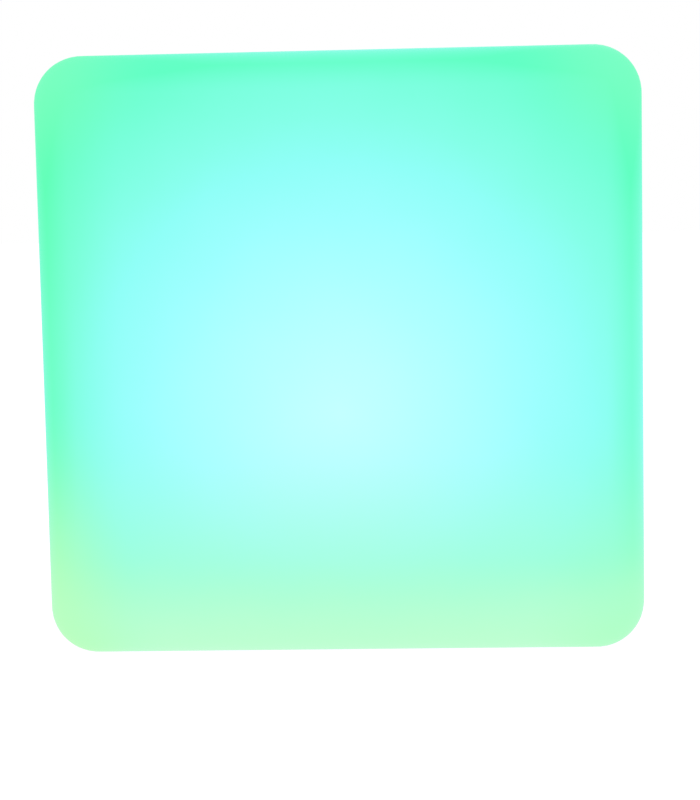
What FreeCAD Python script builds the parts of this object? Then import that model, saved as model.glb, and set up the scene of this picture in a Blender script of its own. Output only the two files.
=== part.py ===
# A glowing garden cube: a hollow moulded cube, and the light module screwed into its underside.
# Millimetres. The origin is the middle of the face that it stands on, with z up.

import FreeCAD, Part
import math
import os

from FreeCAD import Vector

os.makedirs("parts", exist_ok=True)

# The moulded cube
side = 400.0
edge_radius = 32.0
wall = 3.6
mouth_share = 0.6  # bevel of the well's mouth, of the wall

# Room that every piece is given
overrun = 1.0  # how far a cutter runs past what it cuts
same = 0.01  # lengths closer than this are the same length
fit = 0.05  # round a pressed, screwed or sliding pin
slack = 0.3  # round a piece that must not touch
hole_gap = 0.5  # round a screw in a clearance hole

# The light module's place in the cube's underside
plate_recess = 6.0  # from the ground up to the base plate
floor_thickness = 4.0
gasket_thickness = 2.0
gasket_width = 6.5
seat_width = 25.0  # the ring inside the cube that the plate is screwed against
flange_gap = 1.5
opening_gap = 1.5

# Flange screws and the brass inserts that they turn into
flange_screw_count = 4
flange_screw_start = 45.0  # degrees
flange_screw_radius = 2.0
flange_head_radius = 3.8
flange_head_height = 2.4
flange_screw_end_gap = 1.0
insert_radius = 3.0
insert_length = 9.0
boss_wall = 3.5

# The tub that stands on the base plate
tub_wall = 2.5
tub_depth = 38.0
tub_clearance = 3.4
column_count = 3
column_radius = 4.0
column_bite = 0.8  # how far a column sinks into the tub's wall
column_start = 30.0  # degrees
rib_thickness = 2.0
rib_spread = 36.0

# Small and hidden round pieces are drawn with a few flat sides
screw_sides = 8
small_sides = 12
round_sides = 24
large_sides = 32
tub_sides = 48
lead_sides = 6
bend_steps = 5

# Small screws inside
small_screw_radius = 1.3
small_head_radius = 2.7
small_head_height = 1.9
small_screw_bite = 5.5
post_radius = 3.2
rest_size = 4.0

# Control board and what is on it
board_length = 74.0
board_width = 40.0
board_thickness = 1.6
board_from_middle = 1.5
board_inset = 4.0
socket_height = 11.5  # from the floor up to the board
chip_size = 7.0
chip_height = 1.0
chip_x = -9.0
chip_from_edge = 7.0
driver_count = 4
driver_size = 3.4
driver_height = 1.5
driver_pitch = 6.0
driver_from_end = 7.0
driver_from_edge = 10.5
inductor_radius = 4.0
inductor_height = 4.2
inductor_from_end = 17.0
capacitor_count = 2
capacitor_radius = 3.2
capacitor_height = 7.0
capacitor_pitch = 8.0
capacitor_from_end = 18.0
capacitor_from_edge = 6.0

# Power button and its switch
button_x = -20.0
button_radius = 6.0
button_proud = 2.3
button_play = 0.1
button_travel = 1.2
button_rim = 1.9
button_rim_thickness = 1.2
button_seal_thickness = 0.8
stem_radius = 2.2
switch_size = 6.0
switch_height = 5.0
plunger_size = 2.6
plunger_out = 2.0
plunger_in = 2.0
collar_wall = 1.6
collar_height = 4.0

# Indicator light beside the button
pipe_x = -4.0
pipe_radius = 1.5
pipe_proud = 0.3
pipe_rim = 0.7
pipe_rim_thickness = 1.0
lamp_length = 3.0
lamp_width = 1.5
lamp_height = 0.9
lamp_gap = 0.15

# Charging socket for a round plug
socket_x = 12.0
socket_size = 11.0
socket_nose_radius = 4.4
socket_bore_radius = 2.8
socket_bore_depth = 9.5
socket_pin_radius = 1.0
socket_pin_recess = 2.2
socket_pin_root = 2.0
socket_seal_thickness = 0.8
contact_thickness = 0.3
contact_width = 2.4
contact_length = 6.0

# Rubber cap over the socket, hinged on a thin web of itself
cap_radius = 7.0
cap_thickness = 1.4
cap_gap = 0.05
stub_radius = 2.3
stub_tip_radius = 2.1
stub_length = 1.6
strap_width = 6.0
hinge_from_cap = 4.5  # from the cap's rim out to the hinge line
web_thickness = 0.6
web_reach = 1.6
web_gap = 0.75
tab_length = 3.0
anchor_from_hinge = 5.5
anchor_radius = 3.8
anchor_stem_radius = 1.5
anchor_head_radius = 2.3
anchor_tip_radius = 1.2
anchor_head_height = 2.0

# Shallow pocket in the underside round the controls
pocket_depth = 1.5
pocket_margin = 6.0

# Two rechargeable cells, their tabs and protection board
cell_radius = 9.2
cell_length = 65.2
cell_gap = 0.5
cell_from_middle = 3.5
cell_lift = 2.0
cell_room = 0.1
nickel_thickness = 0.25
nickel_width = 7.0
guard_thickness = 1.0
guard_height = 14.0
saddle_depth = 4.2  # how far the saddle ribs stop below the cells' middle
clamp_width = 8.0
clamp_thickness = 2.5
clamp_room = 0.15
arch_thickness = 2.0
arch_length = 24.0
arch_drop = 3.0
clamp_post_gap = 2.4

# Connectors and leads
pitch = 2.5
header_width = 5.8
header_height = 6.0
header_wall = 0.9
header_floor = 1.5
plug_height = 8.0
battery_header_from_end = 13.0
battery_header_from_edge = 5.5
battery_ways = 2
leads_from_lamps = 6.5  # from the outer ring of lamps in to the four leads
led_ways = 4
lead_radius = 0.7
lead_rise = 0.6
lead_bend = 4.0

# Aluminium lid that carries the lamps
lid_thickness = 2.5
lid_gap = 0.5
led_board_radius = 44.0
led_board_thickness = 1.6
led_size = 5.0
led_height = 1.6
outer_led_count = 12
outer_led_radius = 34.0
inner_led_count = 6
inner_led_radius = 12.0
led_board_sides = 8
led_screw_count = 2
led_screw_radius = 24.0
grommet_wall = 1.1
grommet_rim = 1.2
grommet_rim_thickness = 1.0
terminal_width = 5.5
terminal_height = 6.0
terminal_margin = 2.2
terminal_entry = 3.4
terminal_from_leads = 5.0

# Faceted opal dome over the lamps
dome_sides = 24
dome_bands = 4
dome_crown = 76.0  # degrees up the dome's curve where the flat crown begins
dome_rise = 30.0
dome_wall = 2.0
dome_flange_thickness = 3.0
dome_over_board = 2.0
dome_screw_bite = 12.0
dome_screw_gap = 1.0  # least room between the dome's foot and a screw's head

# Heights, from the ground up
floor_low = plate_recess
floor_top = floor_low + floor_thickness
seat = floor_top + gasket_thickness
pocket_face = floor_low + pocket_depth
board_low = floor_top + socket_height
board_top = board_low + board_thickness
cell_z = floor_top + cell_lift + cell_radius
tub_top = floor_top + tub_depth
lid_top = tub_top + lid_thickness
led_board_top = lid_top + led_board_thickness
dome_flange_top = lid_top + dome_flange_thickness
cap_high = pocket_face - cap_gap
cap_low = cap_high - cap_thickness
hinge_z = cap_high - web_thickness / 2

# Plan of the board on one side of the middle, and of the cells on the other
board_y = -(board_from_middle + board_width / 2)
board_far = board_from_middle + board_width
cell_pitch = 2 * cell_radius + cell_gap
cell_rows = [cell_from_middle + cell_radius + row * cell_pitch for row in (0, 1)]
pack_middle = sum(cell_rows) / 2
pack_far = cell_rows[-1] + cell_radius
pack_end = cell_length / 2 + nickel_thickness + guard_thickness

# The tub is as wide as what it holds, and the cube's opening follows it
board_reach = math.hypot(board_length / 2, board_far)
pack_reach = math.hypot(pack_end, pack_far)
dome_foot = led_board_radius + dome_over_board + dome_wall
dome_screw_reach = dome_foot + dome_screw_gap + small_head_radius + column_radius - column_bite
tub_inner = max(max(board_reach, pack_reach) + tub_clearance, dome_screw_reach)
tub_outer = tub_inner + tub_wall
opening_radius = tub_outer + opening_gap
well_radius = opening_radius + seat_width
flange_radius = well_radius - flange_gap
gasket_outer = opening_radius + gasket_width
bolt_circle = (gasket_outer + flange_radius) / 2
column_circle = tub_inner - column_radius + column_bite
lid_radius = tub_outer - lid_gap

# Places in plan
socket_place = (socket_x, board_y)
button_place = (button_x, board_y)
pipe_place = (pipe_x, board_y)
hinge_x = socket_x + cap_radius + hinge_from_cap
anchor_place = (hinge_x + anchor_from_hinge, board_y)
board_end = board_length / 2
battery_header_x = board_end - battery_header_from_end
battery_header_place = (battery_header_x, -board_from_middle - battery_header_from_edge)
led_header_place = (0, leads_from_lamps + led_size / 2 - outer_led_radius)
clamp_x = pack_end + clamp_post_gap + post_radius
clamp_places = [(-clamp_x, pack_middle), (clamp_x, pack_middle)]
board_corner_x = board_end - board_inset
board_corner_y = board_width / 2 - board_inset
board_places = [(way * board_corner_x, board_y + way * board_corner_y) for way in (-1, 1)]
rest_places = [(way * board_corner_x, board_y - way * board_corner_y) for way in (-1, 1)]

# The clamp bar lies in the valley between the cells
valley_half = cell_pitch / 2 - clamp_width / 2
clamp_low = cell_z + math.sqrt((cell_radius + clamp_room) ** 2 - valley_half**2)
clamp_top = clamp_low + clamp_thickness


# Plain shapes


def cylinder(radius, low, high, at=(0, 0)):
    """A round bar that stands at a place in plan, from one height to another."""
    return Part.makeCylinder(radius, high - low, Vector(at[0], at[1], low))


def prism(sides, radius, low, high, at=(0, 0)):
    """A standing bar with a few equal flat sides; the radius is to its corners."""
    return flat_face(corners_of(sides, radius, low, at)).extrude(Vector(0, 0, high - low))


def corners_of(sides, radius, height, at=(0, 0)):
    """The corners of a level outline with equal sides."""
    return [Vector(at[0] + x, at[1] + y, height) for x, y in around(sides, radius)]


def flat_face(corners):
    return Part.Face(Part.makePolygon(corners + corners[:1]))


def stacked(rings):
    """A solid of flat faces between level outlines that have equally many corners."""
    faces = [flat_face(rings[0]), flat_face(rings[-1])]
    for low, high in zip(rings, rings[1:]):
        for one, two, three, four in zip(low, low[1:] + low[:1], high[1:] + high[:1], high):
            faces.append(flat_face([one, two, three, four]))
    return Part.makeSolid(Part.makeShell(faces))


def sided_pipe(sides, outer, inner, low, high, at=(0, 0)):
    """A prism with a hole right through it."""
    return prism(sides, outer, low, high, at).cut(prism(sides, inner, low - overrun, high + overrun, at))


def block(length, width, low, high, at=(0, 0)):
    """A square-edged block centred on a place in plan."""
    corner = Vector(at[0] - length / 2, at[1] - width / 2, low)
    return Part.makeBox(length, width, high - low, corner)


def bar(start, end, width, low, high, y):
    """A block along x, from one x to another."""
    return block(end - start, width, low, high, ((start + end) / 2, y))


def stadium(length, width, low, high, at=(0, 0)):
    """A block along x with round ends."""
    reach = (length - width) / 2
    middle = block(length - width, width, low, high, at)
    ends = [cylinder(width / 2, low, high, (at[0] + way * reach, at[1])) for way in (-1, 1)]
    return middle.fuse(ends).removeSplitter()


def along_x(radius, start, end, y, z):
    """A round bar with flat sides that lies along x."""
    corners = [Vector(start, y + side_way, z + up) for side_way, up in around(round_sides, radius)]
    return flat_face(corners).extrude(Vector(end - start, 0, 0))


def around(count, radius, start=0.0):
    """Places spaced evenly on a circle, from a starting angle in degrees."""
    turns = [math.radians(start + 360 * step / count) for step in range(count)]
    return [(radius * math.cos(turn), radius * math.sin(turn)) for turn in turns]


def edges_of(shape, kind):
    """The edges of a shape that follow one kind of curve, leaving out those shrunk to a point."""
    return [edge for edge in shape.Edges if not edge.Degenerated and isinstance(edge.Curve, kind)]


def ring_edges(shape, radius, height):
    """The round edges of a shape that have this radius and lie at this height."""
    rings = edges_of(shape, Part.Circle)
    rings = [edge for edge in rings if abs(edge.Curve.Radius - radius) < same]
    return [edge for edge in rings if abs(edge.Curve.Center.z - height) < same]


def group(solids):
    """Separate solids that share one node."""
    return Part.makeCompound(solids)


def screw(radius, head_radius, head_height, under_head, tip, at):
    """A screw whose head bears on one height and whose tip is at another, either way up."""
    way = 1 if under_head > tip else -1
    head_end = under_head + way * head_height
    head = prism(screw_sides, head_radius, min(under_head, head_end), max(under_head, head_end), at)
    shank = prism(screw_sides, radius, min(under_head, tip), max(under_head, tip), at)
    return head.fuse(shank)


def screw_hole(radius, low, high, at):
    """The cutter for a screw's hole."""
    return prism(screw_sides, radius, low, high, at)


def lead(points):
    """A wire that starts upwards and follows short straight runs."""
    start = points[0]
    corners = corners_of(lead_sides, lead_radius, start.z, (start.x, start.y))
    section = Part.makePolygon(corners + corners[:1])
    return Part.makePolygon(points).makePipeShell([section], True, False, 1)


# The cube


bolt_places = around(flange_screw_count, bolt_circle, flange_screw_start)
insert_top = seat + insert_length


def rounded_cube(size, radius, low):
    cube = Part.makeBox(size, size, size, Vector(-size / 2, -size / 2, low))
    return cube.makeFillet(radius, cube.Edges)


def insert_boss(place):
    return prism(small_sides, insert_radius + boss_wall, seat, insert_top + wall, place)


def cube_shell():
    """One hollow moulding, turned in at the bottom to make a well with a ceiling ring."""
    skin_radius = well_radius + wall
    skin_top = seat + wall
    skin = cylinder(skin_radius, 0, skin_top)
    cavity = rounded_cube(side - 2 * wall, edge_radius - wall, wall).cut(skin)
    shell = rounded_cube(side, edge_radius, 0).cut(cavity)
    shell = shell.fuse([insert_boss(place) for place in bolt_places])
    shell = shell.cut(cylinder(well_radius, -overrun, seat))
    shell = shell.cut(cylinder(opening_radius, 0, skin_top + overrun))
    holes = [screw_hole(insert_radius + fit, seat - overrun, insert_top, place) for place in bolt_places]
    shell = shell.cut(holes)
    return shell.makeChamfer(wall * mouth_share, ring_edges(shell, well_radius, 0))


def threaded_inserts():
    sizes = (screw_sides, insert_radius, flange_screw_radius + fit, seat, insert_top)
    return group([sided_pipe(*sizes, place) for place in bolt_places])


# The base and how it is fastened


button_rim_radius = button_radius + button_rim
collar_inner = button_rim_radius + slack
collar_outer = collar_inner + collar_wall
column_places = around(column_count, column_circle, column_start)


def control_pocket():
    """The shallow slot-shaped pocket that holds button, light and charging port."""
    width = 2 * (cap_radius + pocket_margin)
    start = button_x - button_radius - pocket_margin
    end = anchor_place[0] + anchor_radius + pocket_margin / 2
    middle = ((start + end) / 2, board_y)
    return stadium(end - start, width, floor_low - overrun, pocket_face, middle)


def saddle_rib(x):
    """A rib across both cells, hollowed to their round sides."""
    near = cell_rows[0] - cell_radius
    middle = (x, (near + pack_far) / 2)
    rib = block(rib_thickness, pack_far - near, floor_low, cell_z - saddle_depth, middle)
    cells = [along_x(cell_radius + cell_room, x - rib_spread, x + rib_spread, y, cell_z) for y in cell_rows]
    return rib.cut(cells)


def pilot_holes(places, top, bite):
    """Holes that small screws cut their thread in, a little deeper than the screws go."""
    radius = small_screw_radius + fit
    return [screw_hole(radius, top - bite - overrun, top + overrun, place) for place in places]


def module_base():
    """The base plate with its tub, screw columns, posts, ribs and the holes of the controls."""
    plate = cylinder(flange_radius, floor_low, seat)
    plate = plate.cut(prism(large_sides, gasket_outer, floor_top, seat + overrun))
    added = [sided_pipe(tub_sides, tub_outer, tub_inner, floor_low, tub_top)]
    added += [prism(small_sides, column_radius, floor_low, tub_top, place) for place in column_places]
    added += [prism(small_sides, post_radius, floor_low, board_low, place) for place in board_places]
    added += [block(rest_size, rest_size, floor_low, board_low, place) for place in rest_places]
    added += [prism(small_sides, post_radius, floor_low, clamp_low, place) for place in clamp_places]
    added += [saddle_rib(way * rib_spread / 2) for way in (-1, 1)]
    collar_top = floor_top + collar_height
    added += [prism(small_sides, collar_outer, floor_low, collar_top, button_place)]
    base = plate.fuse(added)
    cuts = [control_pocket()]
    cuts += [prism(small_sides, collar_inner, floor_top, board_low, button_place)]
    cuts += [cylinder(button_radius + button_play, 0, board_low, button_place)]
    cuts += [prism(small_sides, pipe_radius + fit, 0, board_low, pipe_place)]
    cuts += [prism(small_sides, socket_nose_radius + fit, 0, board_low, socket_place)]
    cuts += [prism(small_sides, anchor_stem_radius + fit, 0, board_low, anchor_place)]
    bolt_hole = flange_screw_radius + hole_gap
    cuts += [screw_hole(bolt_hole, 0, seat + overrun, place) for place in bolt_places]
    cuts += pilot_holes(column_places, tub_top, dome_screw_bite)
    cuts += pilot_holes(board_places, board_low, small_screw_bite)
    cuts += pilot_holes(clamp_places, clamp_low, small_screw_bite)
    return base.cut(cuts).removeSplitter()


def flange_gasket():
    """A flat rubber ring inside the circle of screws."""
    return sided_pipe(large_sides, gasket_outer - fit, opening_radius, floor_top, seat)


def flange_screws():
    tip = insert_top - flange_screw_end_gap
    sizes = (flange_screw_radius, flange_head_radius, flange_head_height)
    return group([screw(*sizes, floor_low, tip, place) for place in bolt_places])


def small_screws(places, under_head, tip):
    sizes = (small_screw_radius, small_head_radius, small_head_height)
    return group([screw(*sizes, under_head, tip, place) for place in places])


# Power button


button_low = pocket_face - button_proud
button_rim_low = floor_top + button_seal_thickness + fit
button_rim_high = button_rim_low + button_rim_thickness
switch_low = board_low - switch_height
plunger_low = switch_low - plunger_out
plunger_high = switch_low + plunger_in


def power_button():
    """A round cap that slides in the floor, held in by its rim, with a stem under the switch."""
    cap = cylinder(button_radius, button_low, button_rim_high, button_place)
    rim = prism(small_sides, button_rim_radius, button_rim_low, button_rim_high, button_place)
    stem = prism(small_sides, stem_radius, button_rim_low, plunger_low, button_place)
    return cap.fuse([rim, stem]).removeSplitter()


def button_seal():
    """A flat rubber ring that the button's rim presses on while the button is at rest."""
    top = floor_top + button_seal_thickness
    return sided_pipe(small_sides, collar_inner - fit, button_radius + slack, floor_top, top, button_place)


def tact_switch():
    body = block(switch_size, switch_size, switch_low, board_low, button_place)
    room = plunger_size + 2 * fit
    depth = plunger_in + button_travel + slack
    return body.cut(block(room, room, switch_low - overrun, switch_low + depth, button_place))


def switch_plunger():
    return block(plunger_size, plunger_size, plunger_low, plunger_high, button_place)


# Indicator light


lamp_low = board_low - lamp_height


def indicator_pipe():
    rod = prism(small_sides, pipe_radius, pocket_face - pipe_proud, lamp_low - lamp_gap, pipe_place)
    rim_top = floor_top + pipe_rim_thickness
    rim = prism(small_sides, pipe_radius + pipe_rim, floor_top, rim_top, pipe_place)
    return rod.fuse(rim).removeSplitter()


def indicator_led():
    return block(lamp_length, lamp_width, lamp_low, board_low, pipe_place)


# Charging socket and its cap


socket_low = floor_top + socket_seal_thickness
bore_top = pocket_face + socket_bore_depth
pin_top = bore_top + socket_pin_root
contact_place = (socket_x, board_y - socket_bore_radius - contact_thickness / 2)
contact_high = bore_top
contact_low = bore_top - contact_length


def charge_socket():
    body = block(socket_size, socket_size, socket_low, board_low, socket_place)
    nose = prism(small_sides, socket_nose_radius, pocket_face, board_low, socket_place)
    cuts = [cylinder(socket_bore_radius, 0, bore_top, socket_place)]
    cuts += [prism(small_sides, socket_pin_radius + fit, 0, pin_top, socket_place)]
    cuts += [block(contact_width, contact_thickness, contact_low, contact_high, contact_place)]
    return body.fuse(nose).cut(cuts).removeSplitter()


def socket_pin():
    return prism(small_sides, socket_pin_radius, pocket_face + socket_pin_recess, pin_top, socket_place)


def socket_contact():
    return block(contact_width, contact_thickness, contact_low, contact_high, contact_place)


def socket_seal():
    inner = socket_nose_radius + slack
    return sided_pipe(small_sides, socket_size / 2, inner, floor_top, socket_low, socket_place)


def port_cap():
    """The moving flap: disc, stub that fills the port, pull tab, strap and its half of the hinge."""
    disc = prism(round_sides, cap_radius, cap_low, cap_high, socket_place)
    stub_sizes = [(stub_radius, cap_high), (stub_tip_radius, cap_high + stub_length)]
    stub = stacked([corners_of(small_sides, *size, socket_place) for size in stub_sizes])
    tab_end = socket_x - cap_radius - tab_length
    tab = bar(tab_end, socket_x, strap_width, cap_low, cap_high, board_y)
    strap = bar(socket_x, hinge_x - web_reach, strap_width, cap_low, cap_high, board_y)
    web = bar(socket_x, hinge_x, strap_width, cap_high - web_thickness, cap_high, board_y)
    roll_start = Vector(hinge_x, board_y - strap_width / 2, hinge_z)
    roll = Part.makeCylinder(web_thickness / 2, strap_width, roll_start, Vector(0, 1, 0))
    return disc.fuse([stub, tab, strap, web, roll]).removeSplitter()


def cap_anchor():
    """The fixed end of the flap: its half of the hinge, a pad and a barbed stem."""
    pad = prism(small_sides, anchor_radius, cap_low, cap_high, anchor_place)
    strap = bar(hinge_x + web_reach, anchor_place[0], strap_width, cap_low, cap_high, board_y)
    web_low = cap_high - web_thickness
    web = bar(hinge_x + web_gap, anchor_place[0], strap_width, web_low, cap_high, board_y)
    stem = prism(small_sides, anchor_stem_radius, cap_low, floor_top + anchor_head_height, anchor_place)
    barb_top = floor_top + anchor_head_height
    barb_sizes = [(anchor_head_radius, floor_top), (anchor_tip_radius, barb_top)]
    barb = stacked([corners_of(small_sides, *size, anchor_place) for size in barb_sizes])
    return pad.fuse([strap, web, stem, barb]).removeSplitter()


# Cells and what holds them


def battery_cells():
    return group([along_x(cell_radius, -cell_length / 2, cell_length / 2, y, cell_z) for y in cell_rows])


def nickel_tab(start):
    middle = (start + nickel_thickness / 2, pack_middle)
    span = cell_pitch + nickel_width
    return block(nickel_thickness, span, cell_z - nickel_width / 2, cell_z + nickel_width / 2, middle)


def nickel_tabs():
    half = cell_length / 2
    return group([nickel_tab(-half - nickel_thickness), nickel_tab(half)])


def protection_board():
    middle = (pack_end - guard_thickness / 2, pack_middle)
    span = pack_far - cell_from_middle
    return block(guard_thickness, span, cell_z - guard_height / 2, cell_z + guard_height / 2, middle)


def battery_clamp():
    """A bar in the valley between the cells, with an arch over each of them."""
    reach = clamp_x + post_radius
    spine = block(2 * reach, clamp_width, clamp_low, clamp_top, (0, pack_middle))
    inner = cell_radius + clamp_room
    half = arch_length / 2
    arches = [along_x(inner + arch_thickness, -half, half, y, cell_z) for y in cell_rows]
    hollows = [along_x(inner, -half - overrun, half + overrun, y, cell_z) for y in cell_rows]
    width = 2 * (pack_far + arch_thickness)
    below = block(arch_length, width, 0, clamp_low - arch_drop, (0, pack_middle))
    clamp = spine.fuse([arches[0].fuse(arches[1]).cut(below)]).cut(hollows)
    holes = [screw_hole(small_screw_radius + hole_gap, 0, clamp_top + overrun, p) for p in clamp_places]
    return clamp.cut(holes).removeSplitter()


# Boards, connectors and leads


def control_board():
    place = (0, board_y)
    board = block(board_length, board_width, board_low, board_top, place)
    hole = small_screw_radius + hole_gap
    return board.cut([screw_hole(hole, 0, board_top + overrun, corner) for corner in board_places])


def control_chip():
    place = (chip_x, -board_from_middle - chip_from_edge)
    return block(chip_size, chip_size, board_top, board_top + chip_height, place)


def channel_drivers():
    y = -board_far + driver_from_edge
    places = [(driver_from_end - board_end + step * driver_pitch, y) for step in range(driver_count)]
    return group([block(driver_size, driver_size, board_top, board_top + driver_height, p) for p in places])


def inductor():
    top = board_top + inductor_height
    return prism(small_sides, inductor_radius, board_top, top, (board_end - inductor_from_end, board_y))


def capacitors():
    y = -board_far + capacitor_from_edge
    last_x = board_end - capacitor_from_end
    places = [(last_x - step * capacitor_pitch, y) for step in range(capacitor_count)]
    top = board_top + capacitor_height
    return group([prism(small_sides, capacitor_radius, board_top, top, place) for place in places])


def plug_length(ways):
    return pitch * ways + pitch / 2


plug_width = header_width - 2 * header_wall
plug_low = board_top + header_floor
plug_top = plug_low + plug_height


def header(ways, place):
    """An open-topped connector box on the board."""
    room = plug_length(ways) + 2 * fit
    box = block(room + 2 * header_wall, header_width, board_top, board_top + header_height, place)
    return box.cut(block(room, plug_width + 2 * fit, plug_low, plug_top, place))


def plug(ways, place):
    return block(plug_length(ways), plug_width, plug_low, plug_top, place)


def bend(corner, inward, radius, turn):
    """Points round a bend that starts upwards beside its centre and leans over it, by an angle."""
    centre = corner + inward * radius
    steps = [math.radians(turn * step / bend_steps) for step in range(bend_steps + 1)]
    up = Vector(0, 0, 1)
    return [centre - inward * radius * math.cos(a) + up * radius * math.sin(a) for a in steps]


def battery_lead(side_way):
    """A lead that arches from the battery plug over to the top edge of the protection board."""
    start = Vector(battery_header_place[0] + side_way * pitch / 2, battery_header_place[1], plug_top)
    end_y = cell_from_middle + cell_radius - side_way * pitch / 2
    end = Vector(pack_end - guard_thickness / 2, end_y, cell_z + guard_height / 2)
    across = Vector(end.x - start.x, end.y - start.y, 0)
    inward = across / across.Length
    foot = start + Vector(0, 0, lead_rise)
    return lead([start] + bend(foot, inward, across.Length / 2, 180) + [end])


led_lead_xs = [(way - (led_ways - 1) / 2) * pitch for way in range(led_ways)]
entry_z = led_board_top + terminal_entry
terminal_face = led_header_place[1] + terminal_from_leads


def led_lead(x):
    """A lead that rises through the lid and bends over into the terminal."""
    start = Vector(x, led_header_place[1], plug_top)
    foot = Vector(x, led_header_place[1], entry_z - lead_bend)
    end = Vector(x, terminal_face, entry_z)
    return lead([start] + bend(foot, Vector(0, 1, 0), lead_bend, 90) + [end])


# The lid with its lamps


grommet_bore = 2 * (lead_radius + fit)
grommet_bore_length = (led_ways - 1) * pitch + grommet_bore
grommet_grow = 2 * grommet_wall
lid_slot_length = grommet_bore_length + grommet_grow
lid_slot_width = grommet_bore + grommet_grow
led_screw_places = around(led_screw_count, led_screw_radius)
led_places = around(outer_led_count, outer_led_radius) + around(inner_led_count, inner_led_radius)


def heat_spreader():
    lid = prism(large_sides, lid_radius, tub_top, lid_top)
    through = (tub_top - overrun, lid_top + overrun)
    cuts = [screw_hole(small_screw_radius + hole_gap, *through, place) for place in column_places]
    cuts += [screw_hole(small_screw_radius + fit, *through, place) for place in led_screw_places]
    room = 2 * fit
    slot = (lid_slot_length + room, lid_slot_width + room)
    cuts += [block(*slot, *through, led_header_place)]
    return lid.cut(cuts)


def lead_grommet():
    """A rubber bush in the lid, with a rim under it, that the four leads pass through."""
    body = block(lid_slot_length, lid_slot_width, tub_top, led_board_top, led_header_place)
    rim_grow = 2 * grommet_rim
    rim_size = (lid_slot_length + rim_grow, lid_slot_width + rim_grow)
    rim = block(*rim_size, tub_top - grommet_rim_thickness, tub_top, led_header_place)
    bore = block(grommet_bore_length, grommet_bore, 0, led_board_top + overrun, led_header_place)
    return body.fuse(rim).cut(bore).removeSplitter()


def led_board():
    board = prism(led_board_sides, led_board_radius, lid_top, led_board_top)
    through = (lid_top - overrun, led_board_top + overrun)
    cuts = [screw_hole(small_screw_radius + hole_gap, *through, place) for place in led_screw_places]
    room = 2 * fit
    cuts += [block(lid_slot_length + room, lid_slot_width + room, *through, led_header_place)]
    return board.cut(cuts)


def led_packages():
    top = led_board_top + led_height
    return group([block(led_size, led_size, led_board_top, top, place) for place in led_places])


def led_terminal():
    length = (led_ways - 1) * pitch + 2 * terminal_margin
    place = (0, terminal_face + terminal_width / 2)
    return block(length, terminal_width, led_board_top, led_board_top + terminal_height, place)


# The dome


def faceted_dome(foot, rise):
    """A dome of flat facets in bands, with a flat crown."""
    turns = [math.radians(dome_crown * band / dome_bands) for band in range(dome_bands + 1)]
    sizes = [(foot * math.cos(turn), dome_flange_top + rise * math.sin(turn)) for turn in turns]
    return stacked([corners_of(dome_sides, *size) for size in sizes])


def dome_lens():
    """The dome in one piece with its flange."""
    inner = dome_foot - dome_wall
    flange = prism(dome_sides, lid_radius, lid_top, dome_flange_top)
    solid = faceted_dome(dome_foot, dome_rise).fuse(flange)
    cuts = [faceted_dome(inner, dome_rise - dome_wall)]
    cuts += [prism(dome_sides, inner, lid_top - overrun, dome_flange_top)]
    through = (lid_top - overrun, dome_flange_top + overrun)
    cuts += [screw_hole(small_screw_radius + hole_gap, *through, place) for place in column_places]
    return solid.cut(cuts).removeSplitter()


# Every piece, by its name

pieces = {
    "cube_shell": cube_shell(),
    "threaded_inserts": threaded_inserts(),
    "flange_gasket": flange_gasket(),
    "module_base": module_base(),
    "flange_screws": flange_screws(),
    "power_button": power_button(),
    "button_seal": button_seal(),
    "tact_switch": tact_switch(),
    "switch_plunger": switch_plunger(),
    "indicator_pipe": indicator_pipe(),
    "indicator_led": indicator_led(),
    "charge_socket": charge_socket(),
    "socket_pin": socket_pin(),
    "socket_contact": socket_contact(),
    "socket_seal": socket_seal(),
    "port_cap": port_cap(),
    "cap_anchor": cap_anchor(),
    "battery_cells": battery_cells(),
    "nickel_tabs": nickel_tabs(),
    "protection_board": protection_board(),
    "battery_clamp": battery_clamp(),
    "clamp_screws": small_screws(clamp_places, clamp_top, clamp_low - small_screw_bite),
    "control_board": control_board(),
    "board_screws": small_screws(board_places, board_top, board_low - small_screw_bite),
    "control_chip": control_chip(),
    "channel_drivers": channel_drivers(),
    "inductor": inductor(),
    "capacitors": capacitors(),
    "battery_header": header(battery_ways, battery_header_place),
    "battery_plug": plug(battery_ways, battery_header_place),
    "battery_lead_red": battery_lead(1),
    "battery_lead_black": battery_lead(-1),
    "led_header": header(led_ways, led_header_place),
    "led_plug": plug(led_ways, led_header_place),
    "heat_spreader": heat_spreader(),
    "lead_grommet": lead_grommet(),
    "led_board": led_board(),
    "led_packages": led_packages(),
    "led_board_screws": small_screws(led_screw_places, led_board_top, tub_top),
    "led_terminal": led_terminal(),
    "dome_lens": dome_lens(),
    "dome_screws": small_screws(column_places, dome_flange_top, tub_top - dome_screw_bite),
}
for colour, x in zip(("red", "green", "blue", "white"), led_lead_xs):
    pieces[f"led_lead_{colour}"] = led_lead(x)

for name, shape in pieces.items():
    shape.exportStep(f"parts/{name}.step")
    print(f"{name}: {len(shape.Solids)} solid, {shape.Volume:.0f} cubic mm, valid {shape.isValid()}")
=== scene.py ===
# %% [markdown]
# # A glowing garden cube
# The object is a hollow plastic cube, moulded in one piece and lit from inside. Its underside has a
# well, and a base plate with the electronics is screwed into it. Everything here is in metres and in
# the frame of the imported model, so each piece goes where the solids already are.

import math

import bmesh
import bpy
import numpy as np
from mathutils import Matrix, Vector


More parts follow.
